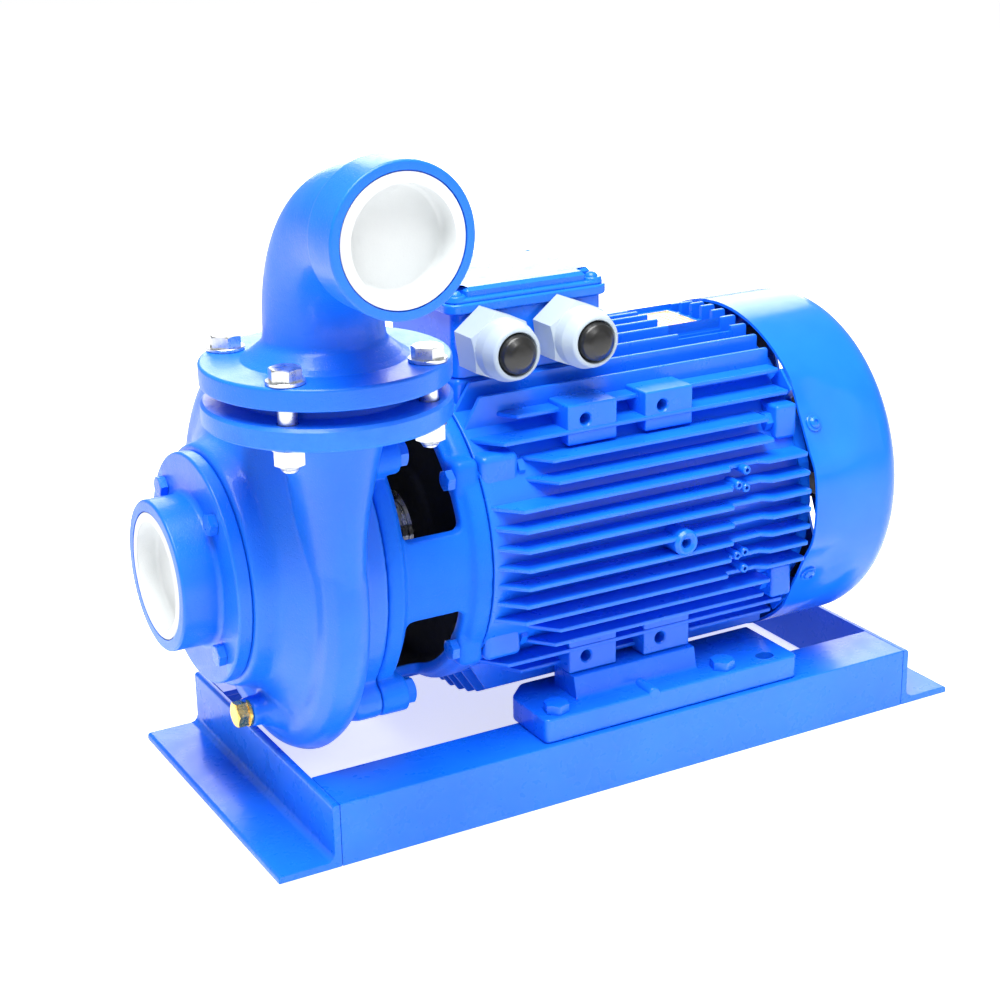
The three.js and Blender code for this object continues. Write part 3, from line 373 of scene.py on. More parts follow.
def make_sand_skin():
    """Height of a sand-cast skin: fine grain over slow ripples."""
    made, into, out = effect(
        "sand_skin",
        [("Place", VECTOR, (0, 0, 0)), ("Grain", FLOAT, 420.0), ("Ripple", FLOAT, 34.0),
         ("Pitting", FLOAT, -0.25)],
        [("Height", FLOAT)])
    grain = noise(made, 420, 2.0, 0.6)
    pits = noise(made, 900, 1.0, 0.5)
    ripple = noise(made, 34, 3.0, 0.45)
    pit_mask = spread(made, 0.56, 0.74)
    sum_1 = maths(made, "MULTIPLY_ADD", second=0.45)
    sum_2 = maths(made, "MULTIPLY_ADD", second=-0.5)
    for node, scale in ((grain, "Grain"), (ripple, "Ripple")):
        wire(made, (into, "Place", node, "Vector"), (into, scale, node, "Scale"))
    wire(made, (into, "Place", pits, "Vector"), (pits, "Fac", pit_mask, "Value"),
         (grain, "Fac", sum_1, 0), (ripple, "Fac", sum_1, 2), (pit_mask, "Result", sum_2, 0),
         (into, "Pitting", sum_2, 1), (sum_1, "Value", sum_2, 2), (sum_2, "Value", out, "Height"))
    return made


def make_paint_drift():
    """Slow changes of tone and gloss over a sprayed coat."""
    made, into, out = effect(
        "paint_drift",
        [("Place", VECTOR, (0, 0, 0)), ("Paint", COLOUR, (0, 0, 1, 1)), ("Thin", COLOUR, (0, 0, 1, 1)),
         ("Gloss", FLOAT, 0.3)],
        [("Colour", COLOUR), ("Roughness", FLOAT)])
    clouds = noise(made, 9, 4.0, 0.55)
    share = spread(made, 0.36, 0.66)
    mix = blend(made)
    mottle = noise(made, 60, 3.0, 0.6)
    rough = spread(made, 0.3, 0.7, -0.05, 0.07)
    add = maths(made, "ADD")
    wire(made, (into, "Place", clouds, "Vector"), (into, "Place", mottle, "Vector"),
         (clouds, "Fac", share, "Value"), (share, "Result", mix, "Factor"), (into, "Paint", mix, "A"),
         (into, "Thin", mix, "B"), (mottle, "Fac", rough, "Value"), (rough, "Result", add, 0),
         (into, "Gloss", add, 1), (mix, "Result", out, "Colour"), (add, "Value", out, "Roughness"))
    return made


def make_worn_and_lit_edges():
    """Mask of the outer edges, broken up by a fine noise: worn edges together with a painted highlight
    along them.
    """
    made, into, out = effect(
        "worn_and_lit_edges",
        [("Place", VECTOR, (0, 0, 0))],
        [("Mask", FLOAT)])
    bend = made.nodes.new("ShaderNodeNewGeometry")
    edge = spread(made, 0.53, 0.62)
    break_up = noise(made, 120, 3.0, 0.6)
    contrast = spread(made, 0.35, 0.6, 0.35, 1.0)
    both = maths(made, "MULTIPLY")
    wire(made, (bend, "Pointiness", edge, "Value"), (into, "Place", break_up, "Vector"),
         (break_up, "Fac", contrast, "Value"), (edge, "Result", both, 0),
         (contrast, "Result", both, 1), (both, "Value", out, "Mask"))
    return made


def make_brushed_metal():
    """Fine turning or rolling marks, longer in one direction than across it."""
    made, into, out = effect(
        "machining_marks",
        [("Place", VECTOR, (0, 0, 0)), ("Stretch", VECTOR, (1, 1, 1)), ("Scale", FLOAT, 300.0)],
        [("Height", FLOAT), ("Shade", FLOAT)])
    pull = vector_maths(made, "MULTIPLY")
    marks = noise(made, 300, 4.0, 0.65)
    shade = spread(made, 0.3, 0.7)
    wire(made, (into, "Place", pull, 0), (into, "Stretch", pull, 1), (pull, "Vector", marks, "Vector"),
         (into, "Scale", marks, "Scale"), (marks, "Fac", shade, "Value"),
         (marks, "Fac", out, "Height"), (shade, "Result", out, "Shade"))
    return made


SAND_SKIN = make_sand_skin()
PAINT_DRIFT = make_paint_drift()
WORN_AND_LIT_EDGES = make_worn_and_lit_edges()
MACHINING = make_brushed_metal()


def fresh(name, roughness=0.4, metallic=0.0):
    """An empty material: its tree, its shader and its object coordinates."""
    finish = bpy.data.materials.new(name)
    finish.use_nodes = True
    tree = finish.node_tree
    shader = tree.nodes["Principled BSDF"]
    shader.inputs["Roughness"].default_value = roughness
    shader.inputs["Metallic"].default_value = metallic
    place = tree.nodes.new("ShaderNodeTexCoord").outputs["Object"]
    return finish, tree, shader, place


def use(tree, made, place, **values):
    node = tree.nodes.new("ShaderNodeGroup")
    node.node_tree = made
    tree.links.new(place, node.inputs["Place"])
    for label, value in values.items():
        node.inputs[label].default_value = value
    return node


def bumped(tree, shader, height, distance):
    bump = tree.nodes.new("ShaderNodeBump")
    bump.inputs["Distance"].default_value = distance * MM
    tree.links.new(height, bump.inputs["Height"])
    wire(tree, (bump, "Normal", shader, "Normal"))


PAINT = (0.004, 0.140, 0.80, 1)
PAINT_THIN = (0.008, 0.170, 0.86, 1)
# Lighter blue for the outer edges: partly wear, partly a painted highlight on the rounded edges.
PAINT_WORN_LIT_EDGE = (0.07, 0.36, 0.95, 1)


def blue_paint(name, gloss, cast_depth, pitting=0.0, edge=0.35, painted_shade_radius=None):
    """Sprayed blue enamel. cast_depth is the relief of the metal below it, in millimetres."""
    finish, tree, shader, place = fresh(name)
    link = tree.links.new
    drift = use(tree, PAINT_DRIFT, place, Paint=PAINT, Thin=PAINT_THIN, Gloss=gloss)
    # Edges are mixed toward the lighter blue: partly wear, partly a painted highlight on the rounded edges.
    wear_and_highlight = use(tree, WORN_AND_LIT_EDGES, place)
    weaker = maths(tree, "MULTIPLY", second=edge)
    rubbed_and_lit = blend(tree)
    rubbed_and_lit.inputs["B"].default_value = PAINT_WORN_LIT_EDGE
    wire(tree, (wear_and_highlight, "Mask", weaker, 0), (weaker, "Value", rubbed_and_lit, "Factor"),
         (drift, "Colour", rubbed_and_lit, "A"))
    colour = rubbed_and_lit.outputs["Result"]
    rough = drift.outputs["Roughness"]
    # Within this radius of the shaft line the colour goes near black and rougher: painted shade in the
    # bracket's hollow behind its windows.
    if painted_shade_radius:
        middle = at(0, 0, SHAFT)
        offset = vector_maths(tree, "SUBTRACT", (0, middle.y, middle.z))
        flat = vector_maths(tree, "MULTIPLY", (0, 1, 1))
        length = vector_maths(tree, "LENGTH")
        inside = spread(tree, (painted_shade_radius - 1) * MM, painted_shade_radius * MM, 1.0, 0.0)
        painted_shade = blend(tree)
        painted_shade.inputs["B"].default_value = (0.004, 0.005, 0.010, 1)
        link(place, offset.inputs[0])
        wire(tree, (offset, "Vector", flat, 0), (flat, "Vector", length, 0),
             (length, "Value", inside, "Value"), (inside, "Result", painted_shade, "Factor"))
        link(colour, painted_shade.inputs["A"])
        colour = painted_shade.outputs["Result"]
        dull = maths(tree, "MULTIPLY_ADD", second=0.55)
        wire(tree, (inside, "Result", dull, 0))
        link(rough, dull.inputs[2])
        rough = dull.outputs["Value"]
    link(colour, shader.inputs["Base Color"])
    link(rough, shader.inputs["Roughness"])
    shader.inputs["Specular IOR Level"].default_value = 0.15 if painted_shade_radius else 0.35
    shader.inputs["Coat Weight"].default_value = 0.0 if painted_shade_radius else 0.12
    shader.inputs["Coat Roughness"].default_value = 0.10
    skin = use(tree, SAND_SKIN, place, Pitting=-pitting)
    bumped(tree, shader, skin.outputs["Height"], cast_depth)
    return finish


def bare_metal(name, light, dark, roughness, stretch=(1, 1, 1), scale=300, depth=0.05):
    finish, tree, shader, place = fresh(name, roughness, 1.0)
    marks = use(tree, MACHINING, place, Stretch=stretch, Scale=scale)
    # Edges get some grey added: partly wear, partly a painted highlight along them.
    wear_and_highlight = use(tree, WORN_AND_LIT_EDGES, place)
    tone = blend(tree)
    tone.inputs["A"].default_value = dark
    tone.inputs["B"].default_value = light
    bright = blend(tree, "ADD")
    bright.inputs["B"].default_value = (0.12, 0.12, 0.12, 1)
    rough = spread(tree, 0, 1, roughness - 0.07, roughness + 0.09)
    wire(tree, (marks, "Shade", tone, "Factor"), (tone, "Result", bright, "A"),
         (wear_and_highlight, "Mask", bright, "Factor"), (bright, "Result", shader, "Base Color"),
         (marks, "Shade", rough, "Value"), (rough, "Result", shader, "Roughness"))
    bumped(tree, shader, marks.outputs["Height"], depth)
    return finish


def moulded(name, colour, shade, roughness, grain=700, depth=0.05, coat=0.0):
    """Moulded plastic or rubber: a slow change of tone and a fine leathery grain."""
    finish, tree, shader, place = fresh(name, roughness)
    drift = use(tree, PAINT_DRIFT, place, Paint=colour, Thin=shade, Gloss=roughness)
    skin = use(tree, SAND_SKIN, place, Grain=grain, Ripple=80)
    wire(tree, (drift, "Colour", shader, "Base Color"), (drift, "Roughness", shader, "Roughness"))
    shader.inputs["Coat Weight"].default_value = coat
    shader.inputs["Coat Roughness"].default_value = 0.05
    bumped(tree, shader, skin.outputs["Height"], depth)
    return finish


def stacked_sheets(name, light, dark, pitch):
    """Thin sheets stacked along the shaft."""
    finish, tree, shader, place = fresh(name, 0.42, 0.9)
    link = tree.links.new
    bands = tree.nodes.new("ShaderNodeTexWave")
    bands.bands_direction = "X"
    bands.inputs["Scale"].default_value = 0.314 / (pitch * MM)
    bands.inputs["Distortion"].default_value = 0.4
    tone = blend(tree)
    tone.inputs["A"].default_value = dark
    tone.inputs["B"].default_value = light
    link(place, bands.inputs["Vector"])
    wire(tree, (bands, "Fac", tone, "Factor"), (tone, "Result", shader, "Base Color"))
    bumped(tree, shader, bands.outputs["Fac"], 0.15)
    return finish


smooth_blue = blue_paint("smooth_blue_paint", 0.28, 0.04, edge=0.0)
housing_blue = blue_paint("housing_blue_paint", 0.30, 0.12, edge=0.0)
cast_blue = blue_paint("cast_blue_paint", 0.34, 0.30, pitting=0.35)
# The bracket's paint carries painted shade: near black within 97.5 mm of the shaft line.
bracket_blue = blue_paint("bracket_blue_paint", 0.36, 0.34, pitting=0.35, painted_shade_radius=97.5)
cowl_blue = blue_paint("cowl_blue_paint", 0.20, 0.03, edge=0.0)
zinc = bare_metal("zinc_plate", (0.78, 0.79, 0.78, 1), (0.52, 0.54, 0.55, 1), 0.30, scale=240)
steel = bare_metal("turned_steel", (0.62, 0.62, 0.63, 1), (0.36, 0.37, 0.38, 1), 0.28,
                   stretch=(6, 1, 1), scale=160)
brass = bare_metal("brass", (0.93, 0.62, 0.14, 1), (0.66, 0.38, 0.06, 1), 0.26, scale=260)
bronze = bare_metal("cast_bronze", (0.62, 0.38, 0.16, 1), (0.38, 0.21, 0.09, 1), 0.45, scale=200, depth=0.2)
copper = bare_metal("enamelled_copper", (0.70, 0.26, 0.09, 1), (0.42, 0.13, 0.05, 1), 0.35,
                    stretch=(1, 9, 9), scale=120, depth=0.5)
gold_plate = bare_metal("gold_nameplate", (0.93, 0.66, 0.30, 1), (0.72, 0.44, 0.15, 1), 0.34,
                        stretch=(1, 8, 1), scale=240)
laminations = stacked_sheets("steel_laminations", (0.42, 0.43, 0.45, 1), (0.13, 0.13, 0.15, 1), 0.9)
white_plastic = moulded("white_plug_plastic", (0.74, 0.76, 0.76, 1), (0.66, 0.69, 0.70, 1), 0.42,
                        depth=0.16)
grey_plastic = moulded("grey_gland_plastic", (0.42, 0.49, 0.54, 1), (0.35, 0.42, 0.48, 1), 0.36, depth=0.05)
black_rubber = moulded("black_rubber", (0.006, 0.006, 0.006, 1), (0.014, 0.014, 0.013, 1), 0.34, depth=0.02,
                       coat=0.15)
carbon = moulded("seal_carbon", (0.02, 0.02, 0.022, 1), (0.05, 0.05, 0.055, 1), 0.5)
gasket_sheet = moulded("gasket_sheet", (0.03, 0.05, 0.045, 1), (0.06, 0.09, 0.08, 1), 0.75, grain=500)
fan_plastic = moulded("fan_plastic", (0.016, 0.017, 0.02, 1), (0.03, 0.03, 0.034, 1), 0.5)
board_plastic = moulded("terminal_board_plastic", (0.05, 0.035, 0.03, 1), (0.09, 0.06, 0.05, 1), 0.45)


# ---- Base: two rails, two end angles -----------------------------
LEG = 45
SHEET = 5
RAIL_FROM, RAIL_TO = -59.5, 410.5
BASE_HALF = 123.5
END_GAP = 0.3


def angle_outline(corner, out, up):
    """The section of a rolled angle: a sharp heel, a round root and round toes."""
    def point(a, b, *radius):
        return (corner[0] + a * out, corner[1] + b * up, *radius)

    return eased([
        point(0, 0, 0.8), point(LEG, 0, 0.5), point(LEG, SHEET, 2.6), point(SHEET, SHEET, 5.5),
        point(SHEET, LEG, 2.6), point(0, LEG, 0.5),
    ], 3)


def make_base():
    front = slab("front_rail_bar", angle_outline((-BASE_HALF, LEG), 1, -1), "YZ", RAIL_FROM, RAIL_TO)
    rear = slab("rear_rail_bar", angle_outline((BASE_HALF, LEG), -1, -1), "YZ", RAIL_FROM, RAIL_TO)
    pump_end = slab("pump_end_bar", angle_outline((RAIL_FROM - END_GAP, 0), -1, 1), "XZ",
                    -BASE_HALF, BASE_HALF)
    motor_end = slab("motor_end_bar", angle_outline((RAIL_TO + END_GAP, 0), 1, 1), "XZ",
                     -BASE_HALF, BASE_HALF)
    for piece, node in ((front, "front_rail"), (rear, "rear_rail"), (pump_end, "pump_end_angle"),
                        (motor_end, "motor_end_angle")):
        softened(piece, 0.5, 2)
        smoothed(piece)
        fitted(piece, smooth_blue, "blue_paint", node)


# ---- Hexagon heads, screws and nuts ------------------------------
def hexagon(name, axis, start, end, centre, flats, turn=0):
    """A hexagon whose end face has a turned 30 degree crown. start is the seat, end the crown."""
    across = flats / sqrt(3)
    piece = rod(name, axis, start, end, centre, across, 6)
    if turn:
        edit()
        select_all()
        bpy.ops.transform.rotate(value=radians(turn), orient_axis=axis, center_override=at(*centre))
        leave()
    drop = (across - flats / 2) * 0.75
    way = 1 if end > start else -1
    crown = turned(name + "_crown", [
        (start - way * 0.5, 0), (start - way * 0.5, across + 1), (end - way * drop, across + 0.01),
        (end, flats / 2 - 0.6), (end, 0),
    ], centre=hub_line(axis, centre), axis=axis, steps=36)
    carved(piece, crown, operation="INTERSECT")
    return piece


def threads(name, axis, start, end, centre, radius, pitch):
    """A threaded length: a row of turned crests."""
    count = max(1, round(abs(end - start) / pitch))
    step = (end - start) / count
    profile = [(start, 0), (start, radius - 0.9)]
    for number in range(count):
        profile.append((start + (number + 0.5) * step, radius))
        profile.append((start + (number + 1) * step, radius - 0.75))
    profile.append((end, 0))
    return turned(name, profile, centre=hub_line(axis, centre), axis=axis, steps=28)


def washer(name, axis, start, end, centre, radius):
    way = 0.3 if end > start else -0.3
    return turned(name, [
        (start, 0), (start, radius - 0.3), (start + way, radius), (end - way, radius),
        (end, radius - 0.3), (end, 0),
    ], centre=hub_line(axis, centre), axis=axis, steps=48)


FOOT_TOP = 63.3
FOOT_BOLTS = [(112.9, -108, 0), (112.9, 108, 0), (252.9, 108, 0), (252.9, -108, 0)]


def make_feet():
    plan = eased([
        (98, -119.5, 4), (313, -119.5, 5), (313, -56, 2), (114, -56, 8), (98, -72, 12),
    ], 8)
    foot = slab("front_foot_casting", plan, "XY", 45.3, 63)
    softened(foot, 1.6, 3)
    riser = slab("riser", eased([
        (-106, 61), (-106, 63.1), (-100.4, 63.6, 4), (-97, 79, 1), (-70, 79, 1), (-70, 61)], 6),
        "YZ", 134, 236)
    softened(riser, 0.7, 2)
    bead = rod("bead", "Y", -119.8, -99, (187, 0, 62.2), 4.6, 32)
    softened(bead, 1.6, 3)
    slot_ends = slab("spare_hole", eased([
        (284, -113.6, 5.5), (298, -113.6, 5.5), (298, -102.4, 5.5), (284, -102.4, 5.5)], 8), "XY", 40, 70)
    relief = block("relief", (150, -124, 44), (256, -64, 46.1))
    carved(foot, slot_ends, relief)
    joined(foot, riser, bead)
    smoothed(foot)
    rear = mirrored(foot, "rear_foot_casting")
    smoothed(rear)
    fitted(foot, smooth_blue, "blue_paint", "front_foot")
    fitted(rear, smooth_blue, "blue_paint", "rear_foot")


def make_foot_bolts():
    centre = FOOT_BOLTS[0]
    head = hexagon("foot_bolt_head", "Z", FOOT_TOP, FOOT_TOP + 6.6, centre, 16, turn=14)
    under = hexagon("foot_nut", "Z", 39.7, 31.7, centre, 16, turn=14)
    shank = threads("foot_shank", "Z", 29.7, 64, centre, 5, 1.5)
    joined(head, under, shank)
    smoothed(head, 30)
    spread_out(head, "foot_bolt_painted", "foot_bolt", FOOT_BOLTS)


# ---- Volute casing -----------------------------------------------
# Values that the casing shares with the elbow, the bracket and their bolts.
DISCHARGE_X, DISCHARGE_Y = -45, -101.5
FLANGE_FOOT, FLANGE_TOP = 299.8, 313.8
FLANGE_R, FLANGE_HOLE = 77.5, 6.8
FLANGE_SPOTS = [(DISCHARGE_X + x, DISCHARGE_Y + y, 0) for x, y in on_circle(65.5)]
BORE = 30.5
LUG_SPOTS = [(0, y, SHAFT + z) for y, z in on_circle(118)]
DRAIN = (0, -40, 84)
BEND = 70
BEND_Y, BEND_Z = DISCHARGE_Y - BEND, 357
PIPE = 37.2
OUTLET = (DISCHARGE_X, 0, BEND_Z + BEND)


def lofted(name, sections, sides=64):
    """A tapering oval tube between (x, y, z, half width in x, half width in y) sections."""
    whole = None
    for number, (x, y, z, half_x, half_y) in enumerate(sections):
        select_none()
        bpy.ops.mesh.primitive_circle_add(vertices=sides, radius=MM, location=at(x, y, z))
        bpy.ops.transform.resize(value=(half_x, half_y, 1))
        hoop = named(name if number == 0 else f"{name}_{number}")
        whole = hoop if number == 0 else joined(whole, hoop)
    only(whole)
    edit("EDGE")
    select_all()
    bpy.ops.mesh.bridge_edge_loops()
    leave()
    for level in (sections[0][2], sections[-1][2]):
        height = at(0, 0, level).z
        pick_edges(whole, lambda a, b: abs(a.z - height) < 1e-5 and abs(b.z - height) < 1e-5)
        bpy.ops.mesh.edge_face_add()
        leave()
    only(whole)
    edit()
    sealed()
    return whole


def neck(name, thin):
    x, y = -47, DISCHARGE_Y
    return lofted(name, [
        (x, y, 177, 17 - thin, 33 - thin), (x, y, 200, 17.6 - thin, 33.5 - thin),
        (x, y, 222, 19 - thin, 34 - thin), (-46, y, 242, 21.6 - thin, 35 - thin),
        (DISCHARGE_X, y, 260, 25.5 - thin, 36 - thin), (DISCHARGE_X, y, 275, 30 - thin, 37 - thin),
        (DISCHARGE_X, y, 288, 34.5 - thin, 38 - thin), (DISCHARGE_X, y, 301, 38.5 - thin, 39.5 - thin),
    ])


def flange_drills(start, end):
    return [rod("bolt_hole", "Z", start, end, spot, FLANGE_HOLE, 32) for spot in FLANGE_SPOTS]


def flange_disc(name, bottom, top, face=None):
    profile = [(bottom, 0), (bottom, FLANGE_R - 1.5), (bottom + 1.5, FLANGE_R), (top - 1.9, FLANGE_R),
               (top, FLANGE_R - 1.9)]
    if face:
        profile += [(top, 54.6), (face - 0.3, 54), (face, 53.7)]
    profile.append((face or top, 0))
    centre = (DISCHARGE_X, DISCHARGE_Y, 0)
    disc = turned(name, profile, centre=centre, axis="Z", steps=144)
    return carved(disc, *flange_drills(bottom - 4, top + 4))


def drilled_lugs(name, start, end, radius):
    """The four lugs where the bracket is screwed to the casing."""
    return [carved(rod(name, "X", start, end, spot, radius),
                   rod("lug_hole", "X", start - 3, end + 3, spot, 5.4, 24)) for spot in LUG_SPOTS]


def make_casing():
    profile = eased([
        (-92.7, 54.3), (-92.7, 82, 1.6), (-77, 85.5, 8), (-64, 110, 4), (-62.6, 122, 6),
        (-57.5, 132, 7), (-47, 137.2, 9), (-36.5, 132, 7), (-31.4, 122, 6), (-29, 111, 3), (-12.3, 111, 1),
        (-12.3, 97.3), (-26, 97.3), (-37, 118), (-47, 129), (-57, 118), (-68, 98), (-68, 54.3)], 5)
    shell = ring("volute_casting", profile, steps=128)
    carved(shell, neck("water_way", 7))
    throat = carved(neck("neck", 0), neck("water_way", 7), turned("volute_room", [
        (-57, 0), (-57, 118), (-47, 129), (-37, 118), (-37, 0)], steps=96))
    lugs = drilled_lugs("casing_lug", -31, -12.3, 12.5)
    boss = turned("drain_boss", eased([
        (-86, 0), (-86, 10.5, 1), (-76, 10.5, 6), (-66, 17, 6), (-60, 20), (-60, 0)], 4),
        centre=DRAIN, steps=48)
    web = slab("drain_web", [(-92, 94), (-82, 94), (-74, 80), (-74, 70), (-80, 76)], "XZ", -43, -37)
    body = joined(shell, throat, boss, web, *lugs)
    cast(body, 1.8, 7)
    disc = flange_disc("casing_flange", FLANGE_FOOT, FLANGE_TOP, 317.6)
    carved(disc, rod("mouth", "Z", 290, 330, (DISCHARGE_X, DISCHARGE_Y, 0), BORE, 64))
    smoothed(disc, 30)
    joined(body, disc)
    fitted(body, cast_blue, "blue_paint", "volute_casing")


def make_drain_plug():
    head = hexagon("drain_plug_brass", "X", -88.2, -96.3, DRAIN, 16, turn=8)
    collar = washer("drain_collar", "X", -88.3, -86.3, DRAIN, 9.8)
    stem = threads("drain_stem", "X", -86.4, -73, DRAIN, 6, 1.5)
    joined(head, collar, stem)
    smoothed(head, 30)
    fitted(head, brass, "brass", "drain_plug")


# ---- Suction cover and plug --------------------------------------
COVER_SPOTS = [(0, y, SHAFT + z) for y, z in on_circle(64)]


def make_suction_cover():
    profile = eased([
        (-127.6, 41), (-127.6, 43.4), (-129.5, 43.4), (-129.5, 51.2, 1.8), (-102.7, 51.2, 4),
        (-102.7, 78.5, 1.8), (-93, 78.5, 1.2), (-93, 54), (-72, 54), (-72, 41),
    ], 5)
    cover = ring("suction_cover_casting", profile, steps=128)
    carved(cover, *[rod("cover_hole", "X", -110, -90, spot, 4.4, 24) for spot in COVER_SPOTS])
    smoothed(cover, 30)
    fitted(cover, cast_blue, "blue_paint", "suction_cover")
    head = hexagon("cover_bolt_head", "X", -103, -108.6, COVER_SPOTS[0], 13, turn=10)
    stem = threads("cover_bolt_stem", "X", -103.1, -83, COVER_SPOTS[0], 4, 1.25)
    joined(head, stem)
    smoothed(head, 30)
    spread_out(head, "cover_bolt_painted", "cover_bolt", COVER_SPOTS)


def port_plug(name, axis, face, bore, centre):
    """A push-in cap: a lip on the port's face and a thin dished cup in its bore."""
    body = bore - 0.4
    profile = eased([
        (face, body - 4), (face, body + 2.2, 0.5), (face + 1.2, body + 2.2, 0.3), (face + 1.2, body),
        (face + 18, body - 0.6, 2), (face + 18.4, 0), (face + 15.4, 0), (face + 15, body - 5, 3),
        (face + 0.6, body - 3.6, 0.4),
    ], 5)
    return ring(name, profile, centre=centre, axis=axis, steps=96)


def make_port_plugs():
    suction = port_plug("suction_plug_white", "X", -129.3, 41, (0, 0, SHAFT))
    smoothed(suction, 40)
    fitted(suction, white_plastic, "white_plastic", "suction_port_plug", body="suction_plug")
    discharge = port_plug("discharge_plug_white", "Y", -214.8, 36.6, OUTLET)
    smoothed(discharge, 40)
    fitted(discharge, white_plastic, "white_plastic", "discharge_port_plug", body="discharge_plug")


# ---- Discharge elbow, its bolts and nuts -------------------------
def bend_wall(name, radius, sides=64):
    """A quarter turn of pipe wall, from the riser to the outlet's straight."""
    select_none()
    bpy.ops.mesh.primitive_circle_add(
        vertices=sides, radius=radius * MM, location=at(DISCHARGE_X, DISCHARGE_Y, BEND_Z))
    wall = named(name)
    edit()
    select_all()
    bpy.ops.mesh.spin(steps=28, angle=-pi / 2, center=at(DISCHARGE_X, BEND_Y, BEND_Z), axis=(1, 0, 0))
    leave()
    return wall


def make_elbow():
    centre = (DISCHARGE_X, DISCHARGE_Y, 0)
    rise = eased([
        (BEND_Z, BORE), (320.2, BORE), (320.2, 53.6, 0.3), (324, 54.5), (324, FLANGE_R, 1.6),
        (338, FLANGE_R, 2),
        (338, 52, 2), (341, 47.5, 3), (349, 37.8, 8), (BEND_Z, PIPE),
    ], 5)
    riser = turned("discharge_elbow_casting", rise, centre=centre, axis="Z", steps=64)
    reach = eased([
        (BEND_Y, PIPE), (-176, PIPE, 6), (-185, 44.8, 5), (-215, 44.8, 1.6), (-215, 39.2), (-213.3, 39.2),
        (-213.3, 36.6), (-194, 36.6), (-192, BORE), (BEND_Y, BORE),
    ], 5)
    outlet = turned("outlet", reach, centre=OUTLET, axis="Y", steps=64)
    joined(riser, outlet, bend_wall("outer_bend", PIPE), bend_wall("inner_bend", BORE))
    edit()
    select_all()
    bpy.ops.mesh.remove_doubles(threshold=0.05 * MM)
    bpy.ops.mesh.normals_make_consistent(inside=False)
    leave()
    carved(riser, *flange_drills(318, 342))
    smoothed(riser, 32)
    fitted(riser, cast_blue, "blue_paint", "discharge_elbow")


def make_flange_bolts():
    first = FLANGE_SPOTS[0]
    plate = washer("flange_washer", "Z", 338.2, 340.4, first, 12)
    head = hexagon("flange_bolt_head", "Z", 340.4, 347.9, first, 18, turn=11)
    mark = turned("head_dish", [(347.3, 0), (348.6, 4.6), (348.6, 0)], centre=first, axis="Z", steps=24)
    carved(head, mark)
    shank = rod("flange_shank", "Z", 300, 341, first, 5.9, 32)
    tail = threads("flange_thread", "Z", 286, 300.5, first, 6, 1.75)
    cone = turned("tail_cone", [(284.5, 0), (284.5, 4.4), (286.1, 5.4), (286.1, 0)], centre=first,
                  axis="Z", steps=28)
    joined(head, plate, shank, tail, cone)
    smoothed(head, 30)
    nut = hexagon("flange_nut_body", "Z", 299.5, 288.7, first, 18, turn=24)
    joined(nut, washer("nut_washer", "Z", 299.6, 298.2, first, 10.6))
    smoothed(nut, 30)
    spread_out(head, "flange_bolt_zinc", "flange_bolt", FLANGE_SPOTS, zinc, "zinc_plate")
    spread_out(nut, "flange_nut_zinc", "flange_nut", FLANGE_SPOTS, zinc, "zinc_plate")


# ---- Bracket between pump and motor ------------------------------
def make_bracket():
    profile = eased([
        (-3, 30), (-3, 96), (-12, 96), (-12, 111, 1.5), (-0.5, 111, 2), (2.5, 105, 3), (50, 105, 3),
        (53.5, 109.5, 2), (65, 109.5, 1), (65, 34), (68, 34), (68, 20), (48, 20), (48, 52), (52, 52),
        (52, 96), (4, 96), (4, 30),
    ], 4)
    bracket = ring("bracket_casting", profile, steps=128)
    lugs = drilled_lugs("bracket_lug", -12, 8, 12.6)
    ears = []
    windows = []
    for side, level in QUADRANTS:
        ear = quarter_block("side_ear", side, level, (46.5, 65), (76, 94), (47, 73))
        ears.append(softened(ear, 5, 4))
        window = quarter_block("window", side, level, (4.5, 47), (27.5, 130), (27.5, 130))
        windows.append(softened(window, 5, 4))
    carved(bracket, *windows)
    joined(bracket, *lugs, *ears)
    cast(bracket, 1.7, 4)
    fitted(bracket, bracket_blue, "blue_paint", "bracket")


def make_bracket_screws():
    head = hexagon("casing_screw_head", "X", 8.3, 14.7, LUG_SPOTS[0], 16, turn=12)
    stem = threads("casing_screw_stem", "X", -27, 8.5, LUG_SPOTS[0], 5, 1.5)
    joined(head, stem)
    smoothed(head, 30)
    spread_out(head, "casing_screw_painted", "casing_screw", LUG_SPOTS)
    low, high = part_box("bracket_screw_1")
    seat = (low.x - DATUM.x) / MM + 5.6
    tip = (high.x - DATUM.x) / MM
    spots = [(0, side * 87, SHAFT + level * 60) for side, level in QUADRANTS]
    head = hexagon("bracket_screw_head", "X", seat, seat - 5.6, spots[0], 13, turn=20)
    stem = threads("bracket_screw_stem", "X", seat - 0.1, tip, spots[0], 4, 1.25)
    joined(head, stem)
    smoothed(head, 30)
    spread_out(head, "bracket_screw_painted", "bracket_screw", spots)


# ---- Motor housing -----------------------------------------------
HOUSING_FROM, HOUSING_TO, HOUSING_R, HOUSING_BORE = 66, 318, 109, 101
PITCH = 13.2
FIN_TIP, FIN_HALF = 125, 1.6
PADS = (133, 195)
PAD_FACE = 93
PLATE_SEAT = SHAFT + HOUSING_R + 5.7


